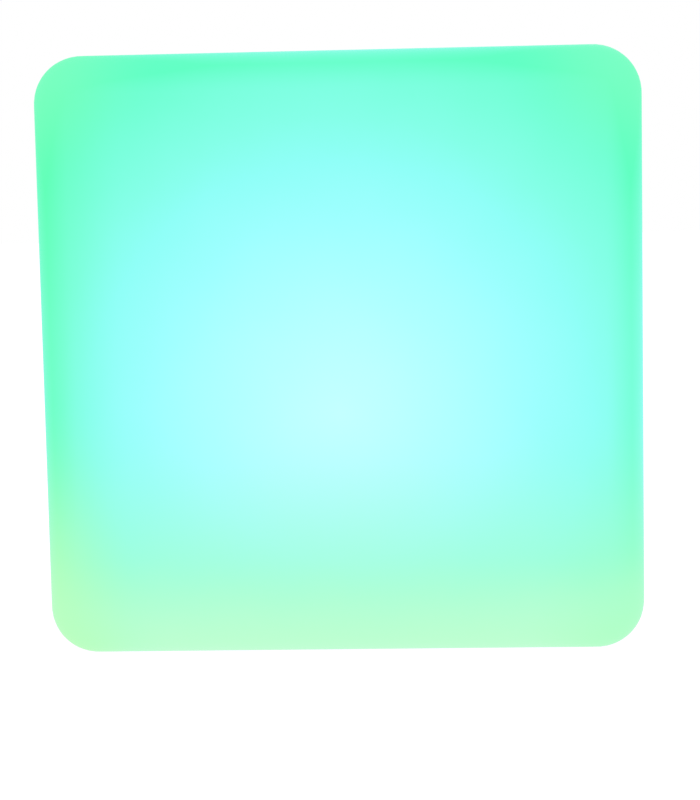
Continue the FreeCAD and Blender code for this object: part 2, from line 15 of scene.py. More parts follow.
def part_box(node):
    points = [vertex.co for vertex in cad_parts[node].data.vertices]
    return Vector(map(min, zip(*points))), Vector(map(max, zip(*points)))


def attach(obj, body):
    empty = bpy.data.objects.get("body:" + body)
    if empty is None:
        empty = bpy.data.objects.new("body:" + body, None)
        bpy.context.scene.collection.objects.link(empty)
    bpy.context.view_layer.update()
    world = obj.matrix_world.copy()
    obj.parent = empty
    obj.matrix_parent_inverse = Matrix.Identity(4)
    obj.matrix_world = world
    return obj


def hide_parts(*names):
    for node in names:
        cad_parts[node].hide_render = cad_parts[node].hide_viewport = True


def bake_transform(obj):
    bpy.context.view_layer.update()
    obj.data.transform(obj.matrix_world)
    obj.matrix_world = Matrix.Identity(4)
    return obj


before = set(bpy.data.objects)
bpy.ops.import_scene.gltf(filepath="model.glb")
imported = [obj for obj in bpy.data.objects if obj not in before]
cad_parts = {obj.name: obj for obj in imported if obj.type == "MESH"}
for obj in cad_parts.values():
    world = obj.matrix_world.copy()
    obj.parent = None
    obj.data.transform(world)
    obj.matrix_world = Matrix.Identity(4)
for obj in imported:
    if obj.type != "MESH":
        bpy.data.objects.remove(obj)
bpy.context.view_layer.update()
scene = bpy.context.scene
mm = 0.001

# %% [markdown]
# ## Sizes read from the frame
# A size that the solids already have is measured on them. The small pieces are drawn in
# millimetres, as on a workshop drawing, so the helpers here give millimetres. A node that holds
# several equal solids is taken apart into its islands.

# %% Measure what the solids say
on_plan = Vector((1, 1, 0))


def box_of(node):
    """A node's lowest and highest corner, in millimetres."""
    return [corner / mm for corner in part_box(node)]


def centre_of(box):
    return (box[0] + box[1]) / 2


def levels(box):
    """The heights at which a box begins and ends."""
    return box[0].z, box[1].z


def middle_of(node):
    """Where the middle of a node lies on the plan."""
    return tuple(centre_of(box_of(node)).xy)


def solid_form(node):
    """A node's mesh under construction, with its loose triangles merged."""
    form = bmesh.new()
    form.from_mesh(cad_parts[node].data)
    bmesh.ops.remove_doubles(form, verts=form.verts, dist=0.001 * mm)
    return form


def islands(node, unit=mm):
    """The box of each separate solid in a node, in millimetres or in another unit."""
    form = solid_form(node)
    left = set(form.verts)
    boxes = []
    while left:
        reached = [left.pop()]
        for vertex in reached:
            near = [edge.other_vert(vertex) for edge in vertex.link_edges]
            fresh = [other for other in near if other in left]
            left.difference_update(fresh)
            reached += fresh
        places = np.array([vertex.co for vertex in reached])
        boxes.append((Vector(places.min(0)), Vector(places.max(0))))
    form.free()
    boxes.sort(key=lambda box: tuple(box[0]))
    return [(low / unit, high / unit) for low, high in boxes]


def spots_of(node):
    """Where each of a node's solids stands on the plan."""
    return [centre_of(box) * on_plan for box in islands(node)]


cube_low, cube_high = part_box("cube_shell")
side = cube_high.z - cube_low.z
half = side / 2
plate_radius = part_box("module_base")[1].x
lid = box_of("heat_spreader")[1]
print("side", side, "m, plate radius", plate_radius, "m, lid radius", lid.x, "mm")

# %% [markdown]
# ## Shader and geometry trees as expressions
# Node trees are long to write out by hand. A small class wraps a socket, so that sums, products and
# comparisons of sockets add their own Math nodes. Every other node comes from one method that takes
# the node's type, its settings and what goes into its sockets.

# %% A socket that can be used in sums


def sum_method(operation, swapped=False):
    """A method that adds a Math node for a wire and another value."""

    def method(self, other):
        values = (other, self) if swapped else (self, other)
        return self.graph.math(operation, *values)

    return method


class Wire:
    """A socket of a node tree, which can be used in sums."""

    def __init__(self, graph, socket):
        self.graph = graph
        self.socket = socket

    __add__ = __radd__ = sum_method("ADD")
    __sub__ = sum_method("SUBTRACT")
    __rsub__ = sum_method("SUBTRACT", swapped=True)
    __mul__ = __rmul__ = sum_method("MULTIPLY")
    __truediv__ = sum_method("DIVIDE")
    __gt__ = sum_method("GREATER_THAN")
    __lt__ = sum_method("LESS_THAN")


# %% A node tree that takes nodes by type


class Graph:
    """A node tree, filled by expressions and by one method for every other node."""

    def __init__(self, tree):
        self.tree = tree
        tree.nodes.clear()

    def feed(self, socket, value):
        """Links a wire, or several, to a socket, or sets the value it has when nothing is linked."""
        if isinstance(value, Wire):
            value = [value]
        if isinstance(value, list):
            for wire in value:
                self.tree.links.new(wire.socket, socket)
        elif socket.type == "RGBA":
            socket.default_value = (*value, 1)
        elif socket.type == "VECTOR" and isinstance(value, (int, float)):
            socket.default_value = (value, value, value)
        else:
            socket.default_value = value

    def node(self, kind, settings=None, sockets=None, out=0):
        """Adds a node: its settings come first, then what its sockets hold."""
        made = self.tree.nodes.new(kind)
        for name, value in (settings or {}).items():
            if name == "stops":
                self.set_stops(made.color_ramp, value)
            else:
                setattr(made, name, value)
        for name, value in (sockets or {}).items():
            self.feed(made.inputs[name], value)
        return Wire(self, made.outputs[out]) if len(made.outputs) else made

    def set_stops(self, ramp, stops):
        while len(ramp.elements) < len(stops):
            ramp.elements.new(1)
        for element, (place, colour) in zip(ramp.elements, stops):
            element.position = place
            element.color = (*colour, 1)

    def math(self, operation, *values):
        """A Math node, or a Vector Math node where one of the values is a vector."""
        kinds = [value.socket.type for value in values if isinstance(value, Wire)]
        kind = "ShaderNodeVectorMath" if "VECTOR" in kinds else "ShaderNodeMath"
        return self.node(kind, {"operation": operation}, dict(enumerate(values)))

    def length(self, vector):
        return self.node("ShaderNodeVectorMath", {"operation": "LENGTH"}, {0: vector}, out="Value")

    def vector(self, x=0.0, y=0.0, z=0.0):
        return self.node("ShaderNodeCombineXYZ", {}, {"X": x, "Y": y, "Z": z})

    def split(self, vector):
        """The x, y and z of a vector."""
        parts = self.node("ShaderNodeSeparateXYZ", {}, {"Vector": vector}).socket.node.outputs
        return [Wire(self, part) for part in parts]

    def span(self, value, low, high):
        """Eases from 0 to 1 while a value goes from low to high."""
        sockets = {"Value": value, "From Min": low, "From Max": high}
        return self.node("ShaderNodeMapRange", {"interpolation_type": "SMOOTHSTEP"}, sockets)

    def blend(self, factor, first, second):
        """Mixes two colours, which are inputs 6 and 7 and output 2 of a Mix node."""
        sockets = {0: factor, 6: first, 7: second}
        return self.node("ShaderNodeMix", {"data_type": "RGBA"}, sockets, out=2)

    def seen_by(self, *kinds):
        """1 for rays of these kinds, and 0 for all others."""
        outputs = self.node("ShaderNodeLightPath").socket.node.outputs
        seen = 0.0
        for kind in kinds:
            seen = self.math("MAXIMUM", seen, Wire(self, outputs[f"Is {kind} Ray"]))
        return seen


# %% [markdown]
# ## Common parts of the finishes
# Every finish reads the Object coordinates, which are metres on the real piece, so that grain has
# its true size wherever it is seen from. Grain that is felt rather than seen goes through a Bump
# node, and slow changes of tone go into the colour and the roughness.

# %% Start and close a finish


class Finish(Graph):
    """A material under construction."""

    def __init__(self, name):
        self.material = bpy.data.materials.new(name)
        self.material.use_nodes = True
        super().__init__(self.material.node_tree)
        self.place = self.node("ShaderNodeTexCoord", out="Object")

    def noise(self, size, detail=2.0, roughness=0.5, stretch=None):
        """Soft noise from 0 to 1 whose blotches have about this size."""
        place = self.place * stretch if stretch else self.place
        sockets = {"Vector": place, "Scale": 1 / size, "Detail": detail, "Roughness": roughness}
        return self.node("ShaderNodeTexNoise", {}, sockets)

    def scattered(self, spacing, distance="EUCLIDEAN"):
        """How far away the closest of many scattered points is, as a share of their spacing."""
        sockets = {"Vector": self.place, "Scale": 1 / spacing}
        return self.node("ShaderNodeTexVoronoi", {"distance": distance}, sockets)

    def bump(self, height, depth, before=None):
        """Turns a height from 0 to 1 into relief of this depth, on relief that is there before."""
        sockets = {"Height": height, "Distance": depth, "Strength": 1.0}
        if before:
            sockets["Normal"] = before
        return self.node("ShaderNodeBump", {}, sockets)

    def close(self, colour, rough, relief, **more):
        """Adds the surface shader; words in a socket's name are joined by underscores."""
        sockets = {"Base Color": colour, "Roughness": rough, "Normal": relief}
        sockets.update({name.replace("_", " "): value for name, value in more.items()})
        surface = self.node("ShaderNodeBsdfPrincipled", {}, sockets)
        self.node("ShaderNodeOutputMaterial", {}, {"Surface": surface})
        return self.material


# %% [markdown]
# ## The glowing skin
# The cube is polyethylene about 3.6 mm thick, lit by coloured lamps low in its middle. The plastic
# scatters the light so well that no lamp shows: the face is brightest where it is nearest to the
# lamps, nearly white-cyan, and falls off through cyan to spring green at the edges. Near the ground
# the light comes back off the base and turns a little yellower.
#
# Real scattering through a closed shell is slow and noisy, and an exported model loses it. Here the
# distance from the lamps is worked out in the shader, and a ramp turns it into the glow's colour.

# %% Colours of the glow, from the middle of a face outwards
lamp_height = 0.41 * side
glow_reach = 0.30
glow_stops = [
    (0.00, (0.490, 0.90, 0.74)),
    (0.11, (0.445, 0.90, 0.76)),
    (0.22, (0.390, 0.90, 0.76)),
    (0.33, (0.332, 0.90, 0.76)),
    (0.44, (0.269, 0.90, 0.69)),
    (0.55, (0.215, 0.90, 0.63)),
    (0.64, (0.172, 0.90, 0.50)),
    (0.92, (0.058, 0.90, 0.24)),
]
low_tint, low_tint_height = (0.325, 0.90, 0.327), 0.42 * side
ground_tint, ground_tint_height = (0.455, 0.86, 0.362), 0.18 * side
shadow_tint = (0.19, 0.66, 0.27)  # beside the well, where the module stands in the light
shadow_reach, shadow_height, shadow_share = 0.95 * half, 0.12 * side, 0.8
# Painted shade on the rounded edges, where the surface turns away, moves the glow along its ramp.
edge_shade_begins, edge_shade_shift = 0.86, 0.058  # share of half the side; metres along the ramp
blotch_size, blotch_shift, blotch_lift = 50 * mm, 12 * mm, 10 * mm
# Painted: the base colour is a darker copy of the glow's colour, in place of the plastic's own milky white.
glow_tinted_base = (0.07, 0.45, 0.36)

# %% [markdown]
# No two lamps stand at the same place, so the colours don't mix alike everywhere: the upright edges
# on the left are a little yellower. The corners are darker with painted shade, because they are
# furthest from the lamps and because the powder that makes the wall gathers there.

# %% Colours of the left edges and of the painted shade in the corners
left_high_tint, left_low_tint = (0.055, 0.90, 0.08), (0.71, 0.90, 0.08)
left_tint_height, left_share, left_begins = 0.445 * side, 0.42, 0.685
corner_shade_high, corner_shade_low, corner_shade_share = (0.19, 0.80, 0.24), (0.32, 0.814, 0.232), 0.51
corner_near, corner_far = 14 * mm, 90 * mm


def glowing_skin():
    """A ramp over the distance from the lamps, tinted by height, with painted shade towards edges and
    corners.
    """
    work = Finish("glow_skin")
    x, y, z = work.split(work.math("ABSOLUTE", work.place))
    from_middle = work.math("ABSOLUTE", z - half)
    blotches = work.noise(blotch_size, 3.0) - 0.5

    from_lamps = work.length(work.place - (0, 0, lamp_height))
    across = work.math("SQRT", work.math("MAXIMUM", from_lamps * from_lamps - half * half, 0.0))
    upright_edge = work.math("MINIMUM", x, y)
    level_edge = work.math("MINIMUM", work.math("MAXIMUM", x, y), from_middle)
    # Painted shade towards the rounded edges.
    edge = work.span(work.math("MAXIMUM", upright_edge, level_edge), edge_shade_begins * half, half)
    along = across + blotches * blotch_shift + edge * edge_shade_shift
    glow = work.node("ShaderNodeValToRGB", {"stops": glow_stops}, {"Fac": along / glow_reach})

    low = z + blotches * blotch_lift
    glow = work.blend(work.span(low, low_tint_height, 0.0), glow, low_tint)
    glow = work.blend(work.span(low, ground_tint_height, 0.0), glow, ground_tint)

    to_left = work.math("MINIMUM", 0 - work.split(work.place)[0], y)
    left = work.span(to_left, left_begins * half, half)
    left_tint = work.blend(work.span(z, left_tint_height, 0.0), left_high_tint, left_low_tint)
    glow = work.blend(left * left_share, glow, left_tint)

    # Painted shade towards the corners.
    to_corner = work.length(work.vector(half - x, half - y, half - from_middle))
    corner = work.span(to_corner, corner_far, corner_near)
    corner_shade = work.blend(work.span(z, half, 0.0), corner_shade_high, corner_shade_low)
    glow = work.blend(corner * corner_shade_share, glow, corner_shade)

    from_well = work.length(work.place * (1, 1, 0))
    hidden = work.span(from_well, shadow_reach, plate_radius) * work.span(z, shadow_height, 0.0)
    glow = work.blend(hidden * shadow_share + hidden * blotches * 0.5, glow, shadow_tint)

    ripple = work.bump(work.noise(18 * mm), 0.12 * mm)
    relief = work.bump(work.noise(1.1 * mm, 3.0, 0.6), 0.03 * mm, ripple)
    rough = 0.50 + 0.10 * work.noise(30 * mm)
    optics = {"Specular_IOR_Level": 0.2, "IOR": 1.25}
    return work.close(
        glow_tinted_base, rough, relief, Emission_Color=glow, Emission_Strength=1.0, **optics
    )


skin_finish = glowing_skin()
print("glow ramp:", len(glow_stops), "stops over", glow_reach, "m")

# %% [markdown]
# ## The skin grows from a rule
# A moulded cube with rounded edges follows one rule: push each point of a plain cube back to a
# smaller cube inside it, and then out again by the rounding. Geometry Nodes apply the rule to the
# outside and to the inside of the wall, and cut the well, its opening and the holes of the brass
# inserts. The grid is drawn together towards the edges, where the surface turns.

# %% Build a geometry tree with named inputs


def growing(name, inputs):
    """A geometry tree and its inputs as wires, by name."""
    tree = bpy.data.node_groups.new(name, "GeometryNodeTree")
    tree.interface.new_socket(name="Geometry", in_out="OUTPUT", socket_type="NodeSocketGeometry")
    graph = Graph(tree)
    for label, kind in inputs.items():
        tree.interface.new_socket(name=label, in_out="INPUT", socket_type="NodeSocket" + kind)
    entry = tree.nodes.new("NodeGroupInput")
    return graph, {label: Wire(graph, entry.outputs[label]) for label in inputs}


def close_tree(graph, geometry, material):
    """Ends a tree in real, painted mesh."""
    real = graph.node("GeometryNodeRealizeInstances", {}, {"Geometry": geometry})
    painted = graph.node("GeometryNodeSetMaterial", {}, {"Geometry": real, "Material": material})
    graph.node("NodeGroupOutput", {}, {"Geometry": painted})
    return graph


# %% Turn what a tree or a modifier makes into a plain mesh


def added(name, data):
    """A new object in the scene."""
    made = bpy.data.objects.new(name, data)
    scene.collection.objects.link(made)
    return made


def baked(piece):
    """Makes what a piece's modifiers give its own mesh."""
    shapes = bpy.context.evaluated_depsgraph_get()
    mesh = bpy.data.meshes.new_from_object(piece.evaluated_get(shapes), depsgraph=shapes)
    piece.modifiers.clear()
    piece.data = mesh
    mesh.name = piece.name
    return piece


def grown(name, graph, values, start=None):
    """Runs a tree once on a start mesh and gives the result as a plain object."""
    piece = added(name, start or bpy.data.meshes.new(name))
    modifier = piece.modifiers.new("grow", "NODES")
    modifier.node_group = graph.tree
    for item in graph.tree.interface.items_tree:
        if item.in_out == "INPUT" and item.name in values:
            modifier[item.identifier] = values[item.name]
    baked(piece)
    print(name, "has", len(piece.data.polygons), "faces")
    return piece


# %% Shapes that the skin's tree is made of
draw_in = 0.3  # how strongly the grid is drawn together towards the edges


def rule_cube(graph, size, radius, low, cells):
    """A rounded cube, standing at a height."""
    reach = size / 2
    counts = {"Vertices X": cells, "Vertices Y": cells, "Vertices Z": cells}
    extent = graph.vector(size, size, size)
    cube = graph.node("GeometryNodeMeshCube", {}, {"Size": extent, **counts})
    share = graph.node("GeometryNodeInputPosition") / reach
    point = (share * (1 + draw_in) - share * share * share * draw_in) * reach
    inner = reach - radius
    core = graph.math("MAXIMUM", graph.math("MINIMUM", point, inner), 0 - inner)
    outward = graph.math("NORMALIZE", point - core)
    place = core + outward * radius + graph.vector(z=reach + low)
    return graph.node("GeometryNodeSetPosition", {}, {"Geometry": cube, "Position": place})


def drum(graph, radius, low, high, steps, top_radius=None):
    """A round cutter from one height to another, or a cone where its top has its own radius."""
    top_radius = radius if top_radius is None else top_radius
    sizes = {"Radius Top": top_radius, "Radius Bottom": radius, "Depth": high - low}
    body = graph.node("GeometryNodeMeshCone", {}, {**sizes, "Vertices": steps})
    lift = {"Geometry": body, "Translation": graph.vector(z=low)}
    return graph.node("GeometryNodeTransform", {}, lift)


def on_points(graph, points, thing, rotation=(0, 0, 0)):
    sockets = {"Points": points, "Instance": thing, "Rotation": rotation}
    many = graph.node("GeometryNodeInstanceOnPoints", {}, sockets)
    return graph.node("GeometryNodeRealizeInstances", {}, {"Geometry": many})


def cut(graph, body, cutters):
    settings = {"operation": "DIFFERENCE", "solver": "EXACT"}
    return graph.node("GeometryNodeMeshBoolean", settings, {"Mesh 1": body, "Mesh 2": cutters})


def smoothed(graph, geometry, sharp_degrees):
    """Shades smoothly except where two faces meet at more than an angle."""
    soft = graph.node("GeometryNodeSetShadeSmooth", {}, {"Geometry": geometry, "Shade Smooth": True})
    steep = graph.node("GeometryNodeInputMeshEdgeAngle") > math.radians(sharp_degrees)
    sockets = {"Geometry": soft, "Selection": steep, "Shade Smooth": False}
    return graph.node("GeometryNodeSetShadeSmooth", {"domain": "EDGE"}, sockets)


# %% Sizes of the skin
opening_radius = lid.x + 2.0
insert_low, insert_high = islands("threaded_inserts")[0]
insert_radius = (insert_high.x - insert_low.x) / 2
skin_values = {
    "Side": side,
    "Edge Radius": 32 * mm,
    "Wall": 3.6 * mm,
    "Well Radius": plate_radius + 1.5 * mm,
    "Opening Radius": opening_radius * mm,
    "Ceiling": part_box("flange_gasket")[1].z,
    "Mouth Bevel": 2.2 * mm,
    "Bolt Circle": centre_of((insert_low, insert_high)).xy.length * mm,
    "Boss Radius": (insert_radius + 3.5) * mm,
    "Boss Top": (insert_high.z + 3.6) * mm,
    "Insert Radius": insert_radius * mm,
    "Insert Top": insert_high.z * mm,
    "Cells": 66,
    "Round Steps": 144,
}
print("skin:", {name: round(value, 4) for name, value in skin_values.items()})

# %% The skin's own tree


def skin_tree():
    kinds = {name: "Int" if isinstance(value, int) else "Float" for name, value in skin_values.items()}
    graph, given = growing("rounded_cube_skin", kinds)
    size, wall, steps, cells = (given[name] for name in ("Side", "Wall", "Round Steps", "Cells"))
    edge, well, ceiling = given["Edge Radius"], given["Well Radius"], given["Ceiling"]
    bevel, past = given["Mouth Bevel"], 1 * mm
    outside = rule_cube(graph, size, edge, 0.0, cells)
    room = rule_cube(graph, size - 2 * wall, edge - wall, wall, graph.math("DIVIDE", cells, 2))
    bolts = graph.node("GeometryNodeMeshCircle", {}, {"Vertices": 4, "Radius": given["Bolt Circle"]})
    eighth = {"Geometry": bolts, "Rotation": (0, 0, math.radians(45))}
    bolts = graph.node("GeometryNodeTransform", {}, eighth)
    collar = drum(graph, well + wall, 0 - past, ceiling + wall, steps)
    boss = drum(graph, given["Boss Radius"], ceiling, given["Boss Top"], 48)
    room = cut(graph, room, [collar, on_points(graph, bolts, boss)])
    hole = drum(graph, given["Insert Radius"], 0, given["Insert Top"], 32)
    cutters = [
        room,
        drum(graph, well, 0 - past, ceiling, steps),
        drum(graph, well + bevel + past, 0 - past, bevel, steps, well),
        drum(graph, given["Opening Radius"], 0 - past, ceiling + 2 * wall, steps),
        on_points(graph, bolts, hole),
    ]
    return close_tree(graph, smoothed(graph, cut(graph, outside, cutters), 30), skin_finish)


cube_skin = grown("cube_skin", skin_tree(), skin_values)
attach(cube_skin, "root")
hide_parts("cube_shell")

# %% [markdown]
# ## Finishes of the module
# Everything under the cube is ordinary moulded, turned, rolled or printed stuff, so a few recipes
# cover it. Plastic from a spark-eroded mould has a grain of a few tenths of a millimetre. Turned and
# rolled metal has fine lines along the way it was worked, which a noise drawn out in one direction
# gives. Each recipe takes the colour and the size of its grain.

# %% Moulded plastic and rubber


def shade(colour, share, lift=0.0):
    """A colour made darker by a share, or paler by a lift."""
    return tuple(share * part + lift for part in colour)


def moulded(name, colour, rough, grain, depth=0.02 * mm, **more):
    """Plastic with a fine grain, slow clouds of tone and a few scuffs."""
    work = Finish(name)
    cloudy = work.noise(14 * mm)
    scuffs = work.span(work.noise(3 * mm, 4.0, 0.7, (1, 7, 1)), 0.60, 0.74)
    tone = work.blend(cloudy, shade(colour, 0.94), colour)
    tone = work.blend(scuffs * 0.2, tone, shade(colour, 0.7, 0.12))
    gloss = (cloudy - 0.5) * 0.08 + scuffs * 0.10 + rough
    return work.close(tone, gloss, work.bump(work.noise(grain, 3.0, 0.6), depth), **more)


def rubber(name, colour):
    """Soft rubber: matt, speckled, with a faint bloom on it."""
    work = Finish(name)
    bloom = work.span(work.noise(9 * mm, 4.0, 0.6), 0.35, 0.75)
    tone = work.blend(bloom, colour, shade(colour, 0.85, 0.02))
    relief = work.bump(work.noise(0.35 * mm, 3.0, 0.65), 0.03 * mm)
    return work.close(tone, 0.60 + 0.16 * bloom, relief, Specular_IOR_Level=0.35)


# %% Metals


def metal(name, colour, rough, grain, stretch):
    """Worked metal: lines of tool or roll, and a little tarnish in clouds."""
    work = Finish(name)
    lines = work.noise(grain, 3.0, 0.6, stretch)
    cloudy = work.noise(5 * mm, 3.0)
    tone = work.blend(cloudy, shade(colour, 0.85), colour)
    gloss = (lines - 0.5) * 0.20 + (cloudy - 0.5) * 0.10 + rough
    return work.close(tone, gloss, work.bump(lines, 0.01 * mm), Metallic=1.0)


def milled(name, colour, cutter_reach, feed):
    """A plate faced by a wide cutter, which leaves arcs a feed apart."""
    work = Finish(name)
    swept = work.length(work.place - (cutter_reach, -cutter_reach / 2, 0.0))
    arcs = work.math("SINE", (swept + work.noise(6 * mm) * 0.3 * mm) * (2 * math.pi / feed))
    tone = work.blend(work.noise(10 * mm, 3.0), shade(colour, 0.86), colour)
    gloss = arcs * 0.04 + work.noise(0.5 * mm) * 0.12 + 0.26
    return work.close(tone, gloss, work.bump(arcs * 0.5 + 0.5, 0.008 * mm), Metallic=1.0)


# %% Lacquered boards


def printed_board(name, lacquer, track, core, across):
    """Tracks show through lacquer, small holes are tinned round painted shade, and the cut edge is bare."""
    track_share, ring_reach, hole_shade_reach = 0.42, 0.14, 0.06
    work = Finish(name)
    tracks = work.math("FRACT", work.scattered(9 * mm, "CHEBYCHEV") * 5.0) < track_share
    spots = work.scattered(3.2 * mm)
    tinned = spots < ring_reach
    facing = work.split(work.node("ShaderNodeNewGeometry", out="Normal"))[across]
    bare = work.math("ABSOLUTE", facing) < 0.5
    tone = work.blend(tracks, lacquer, track)
    tone = work.blend(tinned, tone, (0.62, 0.62, 0.60))
    # Painted shade: black in the middle of each tinned ring, where the hole opens.
    tone = work.blend(spots < hole_shade_reach, tone, (0.02, 0.02, 0.02))
    tone = work.blend(bare, tone, core)
    relief = work.bump(tracks * 0.6 + tinned * 0.4 + work.noise(0.5 * mm) * 0.2, 0.035 * mm)
    gloss = bare * 0.35 + work.noise(4 * mm) * 0.12 + 0.22
    return work.close(tone, gloss, relief, Metallic=tinned * (1 - bare))


# %% [markdown]
# Some small things are bought in one piece but show several materials: a lamp has a white case, a
# glowing window and tinned legs. Such a mesh carries a number on each face, called zone, and one
# finish turns it into the right material.

# %% Finishes that read a zone from the mesh


def zones(work, count):
    """One mask for each zone after the first."""
    zone = work.node("ShaderNodeAttribute", {"attribute_name": "zone"}, out="Fac")
    return [(zone > step - 0.5) * (zone < step + 0.5) for step in range(1, count)]


def lamp_case():
    """A white case with legs of tin and a window of glowing gel."""
    work = Finish("led_case")
    window, leg = zones(work, 3)
    tone = work.blend(work.noise(2 * mm), (0.80, 0.79, 0.74), (0.88, 0.87, 0.82))
    tone = work.blend(window, tone, (0.85, 0.80, 0.35))
    tone = work.blend(leg, tone, (0.66, 0.66, 0.64))
    glow = work.blend(window, (0, 0, 0), (0.30, 0.95, 0.75))
    gloss = 0.42 - 0.25 * window - 0.12 * leg
    relief = work.bump(work.noise(0.3 * mm), 0.01 * mm)
    return work.close(tone, gloss, relief, Metallic=leg, Emission_Color=glow, Emission_Strength=1.0)


def cell_sleeve():
    """Shrunk film on the side, bare can at the ends, and a white ring round the raised pole."""
    work = Finish("cell_sleeve")
    can, ring = zones(work, 3)
    creases = work.noise(1.2 * mm, 3.0, 0.6, (0.25, 1, 1))
    film = work.blend(work.noise(12 * mm), (0.035, 0.19, 0.36), (0.05, 0.25, 0.44))
    tone = work.blend(ring, work.blend(can, film, (0.60, 0.59, 0.56)), (0.80, 0.80, 0.77))
    gloss = creases * 0.12 + ring * 0.3 + 0.20
    return work.close(tone, gloss, work.bump(creases, 0.05 * mm), Metallic=can)


def capacitor_can():
    """A drawn aluminium can on a black foot, with a black mark for its negative side."""
    work = Finish("capacitor_can")
    foot, mark = zones(work, 3)
    black = work.math("MAXIMUM", foot, mark)
    drawn = work.noise(0.25 * mm, 2.0, 0.5, (1, 1, 0.1))
    tone = work.blend(drawn, (0.54, 0.55, 0.56), (0.64, 0.65, 0.66))
    tone = work.blend(black, tone, (0.02, 0.02, 0.022))
    gloss = drawn * 0.10 + 0.28
    return work.close(tone, gloss, work.bump(drawn, 0.01 * mm), Metallic=1 - black)


def small_resistor():
    """A black body between two tinned ends."""
    work = Finish("small_resistor")
    (ends,) = zones(work, 2)
    speck = work.noise(0.1 * mm)
    tone = work.blend(ends, (0.03, 0.03, 0.034), (0.64, 0.64, 0.62))
    return work.close(tone, 0.30 + 0.15 * speck, work.bump(speck, 0.005 * mm), Metallic=ends)


# %% Plastics that carry light
bright_above_lid = 26.0  # how far above the lid the dome's glow is full
pipe_end, pipe_dark = 7.5, 11.0  # heights between which the rod's glow fades


def opal():
    """The dome evens out the lamps under it, so it glows, and most near its top."""
    work = Finish("opal_plastic")
    height = work.split(work.place)[2]
    rising = work.span(height, lid.z * mm, (lid.z + bright_above_lid) * mm)
    lit = rising * 0.6 + work.noise(9 * mm, 1.0) * 0.4
    glow = work.blend(lit, (0.10, 0.40, 0.30), (0.38, 0.90, 0.76))
    rough = 0.30 + 0.10 * work.noise(3 * mm)
    relief = work.bump(work.noise(0.6 * mm), 0.01 * mm)
    light = {"Emission_Color": glow, "Emission_Strength": 0.6}
    return work.close((0.60, 0.66, 0.65), rough, relief, **light)


def light_pipe():
    """Clear rod with faint flow lines, and a painted green glow at the end that is looked at."""
    work = Finish("clear_plastic")
    height = work.split(work.place)[2]
    glow = work.blend(work.span(height, pipe_dark * mm, pipe_end * mm), (0, 0, 0), (0.10, 0.75, 0.22))
    flow = work.noise(0.8 * mm, 2.0, 0.5, (1, 1, 0.2))
    relief = work.bump(flow, 0.01 * mm)
    light = {"Emission_Color": glow, "Emission_Strength": 0.7, "Transmission_Weight": 1.0, "IOR": 1.49}
    return work.close((0.92, 0.98, 0.95), 0.05 + 0.08 * flow, relief, **light)


# %% The finish of every slot
tin = (0.66, 0.65, 0.62)
turned_lines = (1, 1, 7)
green_lacquer = ((0.02, 0.19, 0.07), (0.04, 0.30, 0.12), (0.45, 0.50, 0.26))
white_lacquer = ((0.78, 0.78, 0.76), (0.84, 0.84, 0.82), (0.62, 0.63, 0.64))
lead_colours = {
    "red": (0.52, 0.03, 0.03),
    "black": (0.025, 0.025, 0.027),
    "green": (0.03, 0.34, 0.10),
    "blue": (0.03, 0.11, 0.46),
    "white": (0.80, 0.80, 0.77),
}
recipes = {
    "white_plastic": (moulded, (0.74, 0.75, 0.73), 0.42, 0.5 * mm),
    "grey_plastic": (moulded, (0.20, 0.21, 0.22), 0.40, 0.45 * mm),
    "black_plastic": (moulded, (0.03, 0.03, 0.032), 0.32, 0.4 * mm, 0.01 * mm),
    "black_rubber": (rubber, (0.045, 0.045, 0.047)),
    "pale_rubber": (rubber, (0.66, 0.66, 0.63)),
    "stainless": (metal, (0.60, 0.60, 0.61), 0.27, 0.3 * mm, turned_lines),
    "zinc_plate": (metal, (0.64, 0.67, 0.70), 0.30, 0.3 * mm, turned_lines),
    "brass": (metal, (0.76, 0.57, 0.26), 0.30, 0.3 * mm, turned_lines),
    "nickel": (metal, tin, 0.32, 0.4 * mm, (5, 1, 1)),
    "green_board": (printed_board, *green_lacquer, 2),
    "white_board": (printed_board, *white_lacquer, 2),
    "chip_black": (moulded, (0.035, 0.035, 0.038), 0.55, 0.15 * mm, 0.008 * mm),
    "aluminium_plate": (milled, (0.72, 0.73, 0.74), 0.12, 0.9 * mm),
}
for word, colour in lead_colours.items():
    recipes["lead_" + word] = (moulded, colour, 0.34, 0.5 * mm, 0.01 * mm)
finishes = {name: recipe(name, *values) for name, (recipe, *values) in recipes.items()}
finishes.update({
    "glow_skin": skin_finish,
    "clear_plastic": light_pipe(),
    "cell_sleeve": cell_sleeve(),
    "capacitor_can": capacitor_can(),
    "nylon": moulded("nylon", (0.74, 0.70, 0.60), 0.36, 0.4 * mm, 0.01 * mm, Subsurface_Weight=0.1),
    "led_case": lamp_case(),
    "opal_plastic": opal(),
})
upright_board = printed_board("upright_board", *green_lacquer, across=0)
resistor_finish = small_resistor()
print(len(finishes), "finishes")

# %% [markdown]
# ## Ways to make a piece
# Four ways make nearly all of the module. A turned piece is an outline of radius and height, spun
# about an axis, as on a lathe. An extruded piece is a flat outline with a height. A softened piece
# takes the solid's own mesh and breaks its edges, because nothing moulded has a sharp edge. What
# repeats is made once and set on points by Geometry Nodes. All sizes given to them are millimetres,
# as on a drawing.

# %% From a mesh under construction to an object


def shaded(piece, sharp=35):
    """Shades smoothly except over edges that turn by more than an angle."""
    piece.data.shade_smooth()
    piece.data.set_sharp_from_angle(angle=math.radians(sharp))
    return piece


def finished(name, form):
    mesh = bpy.data.meshes.new(name)
    form.to_mesh(mesh)
    form.free()
    return shaded(added(name, mesh))


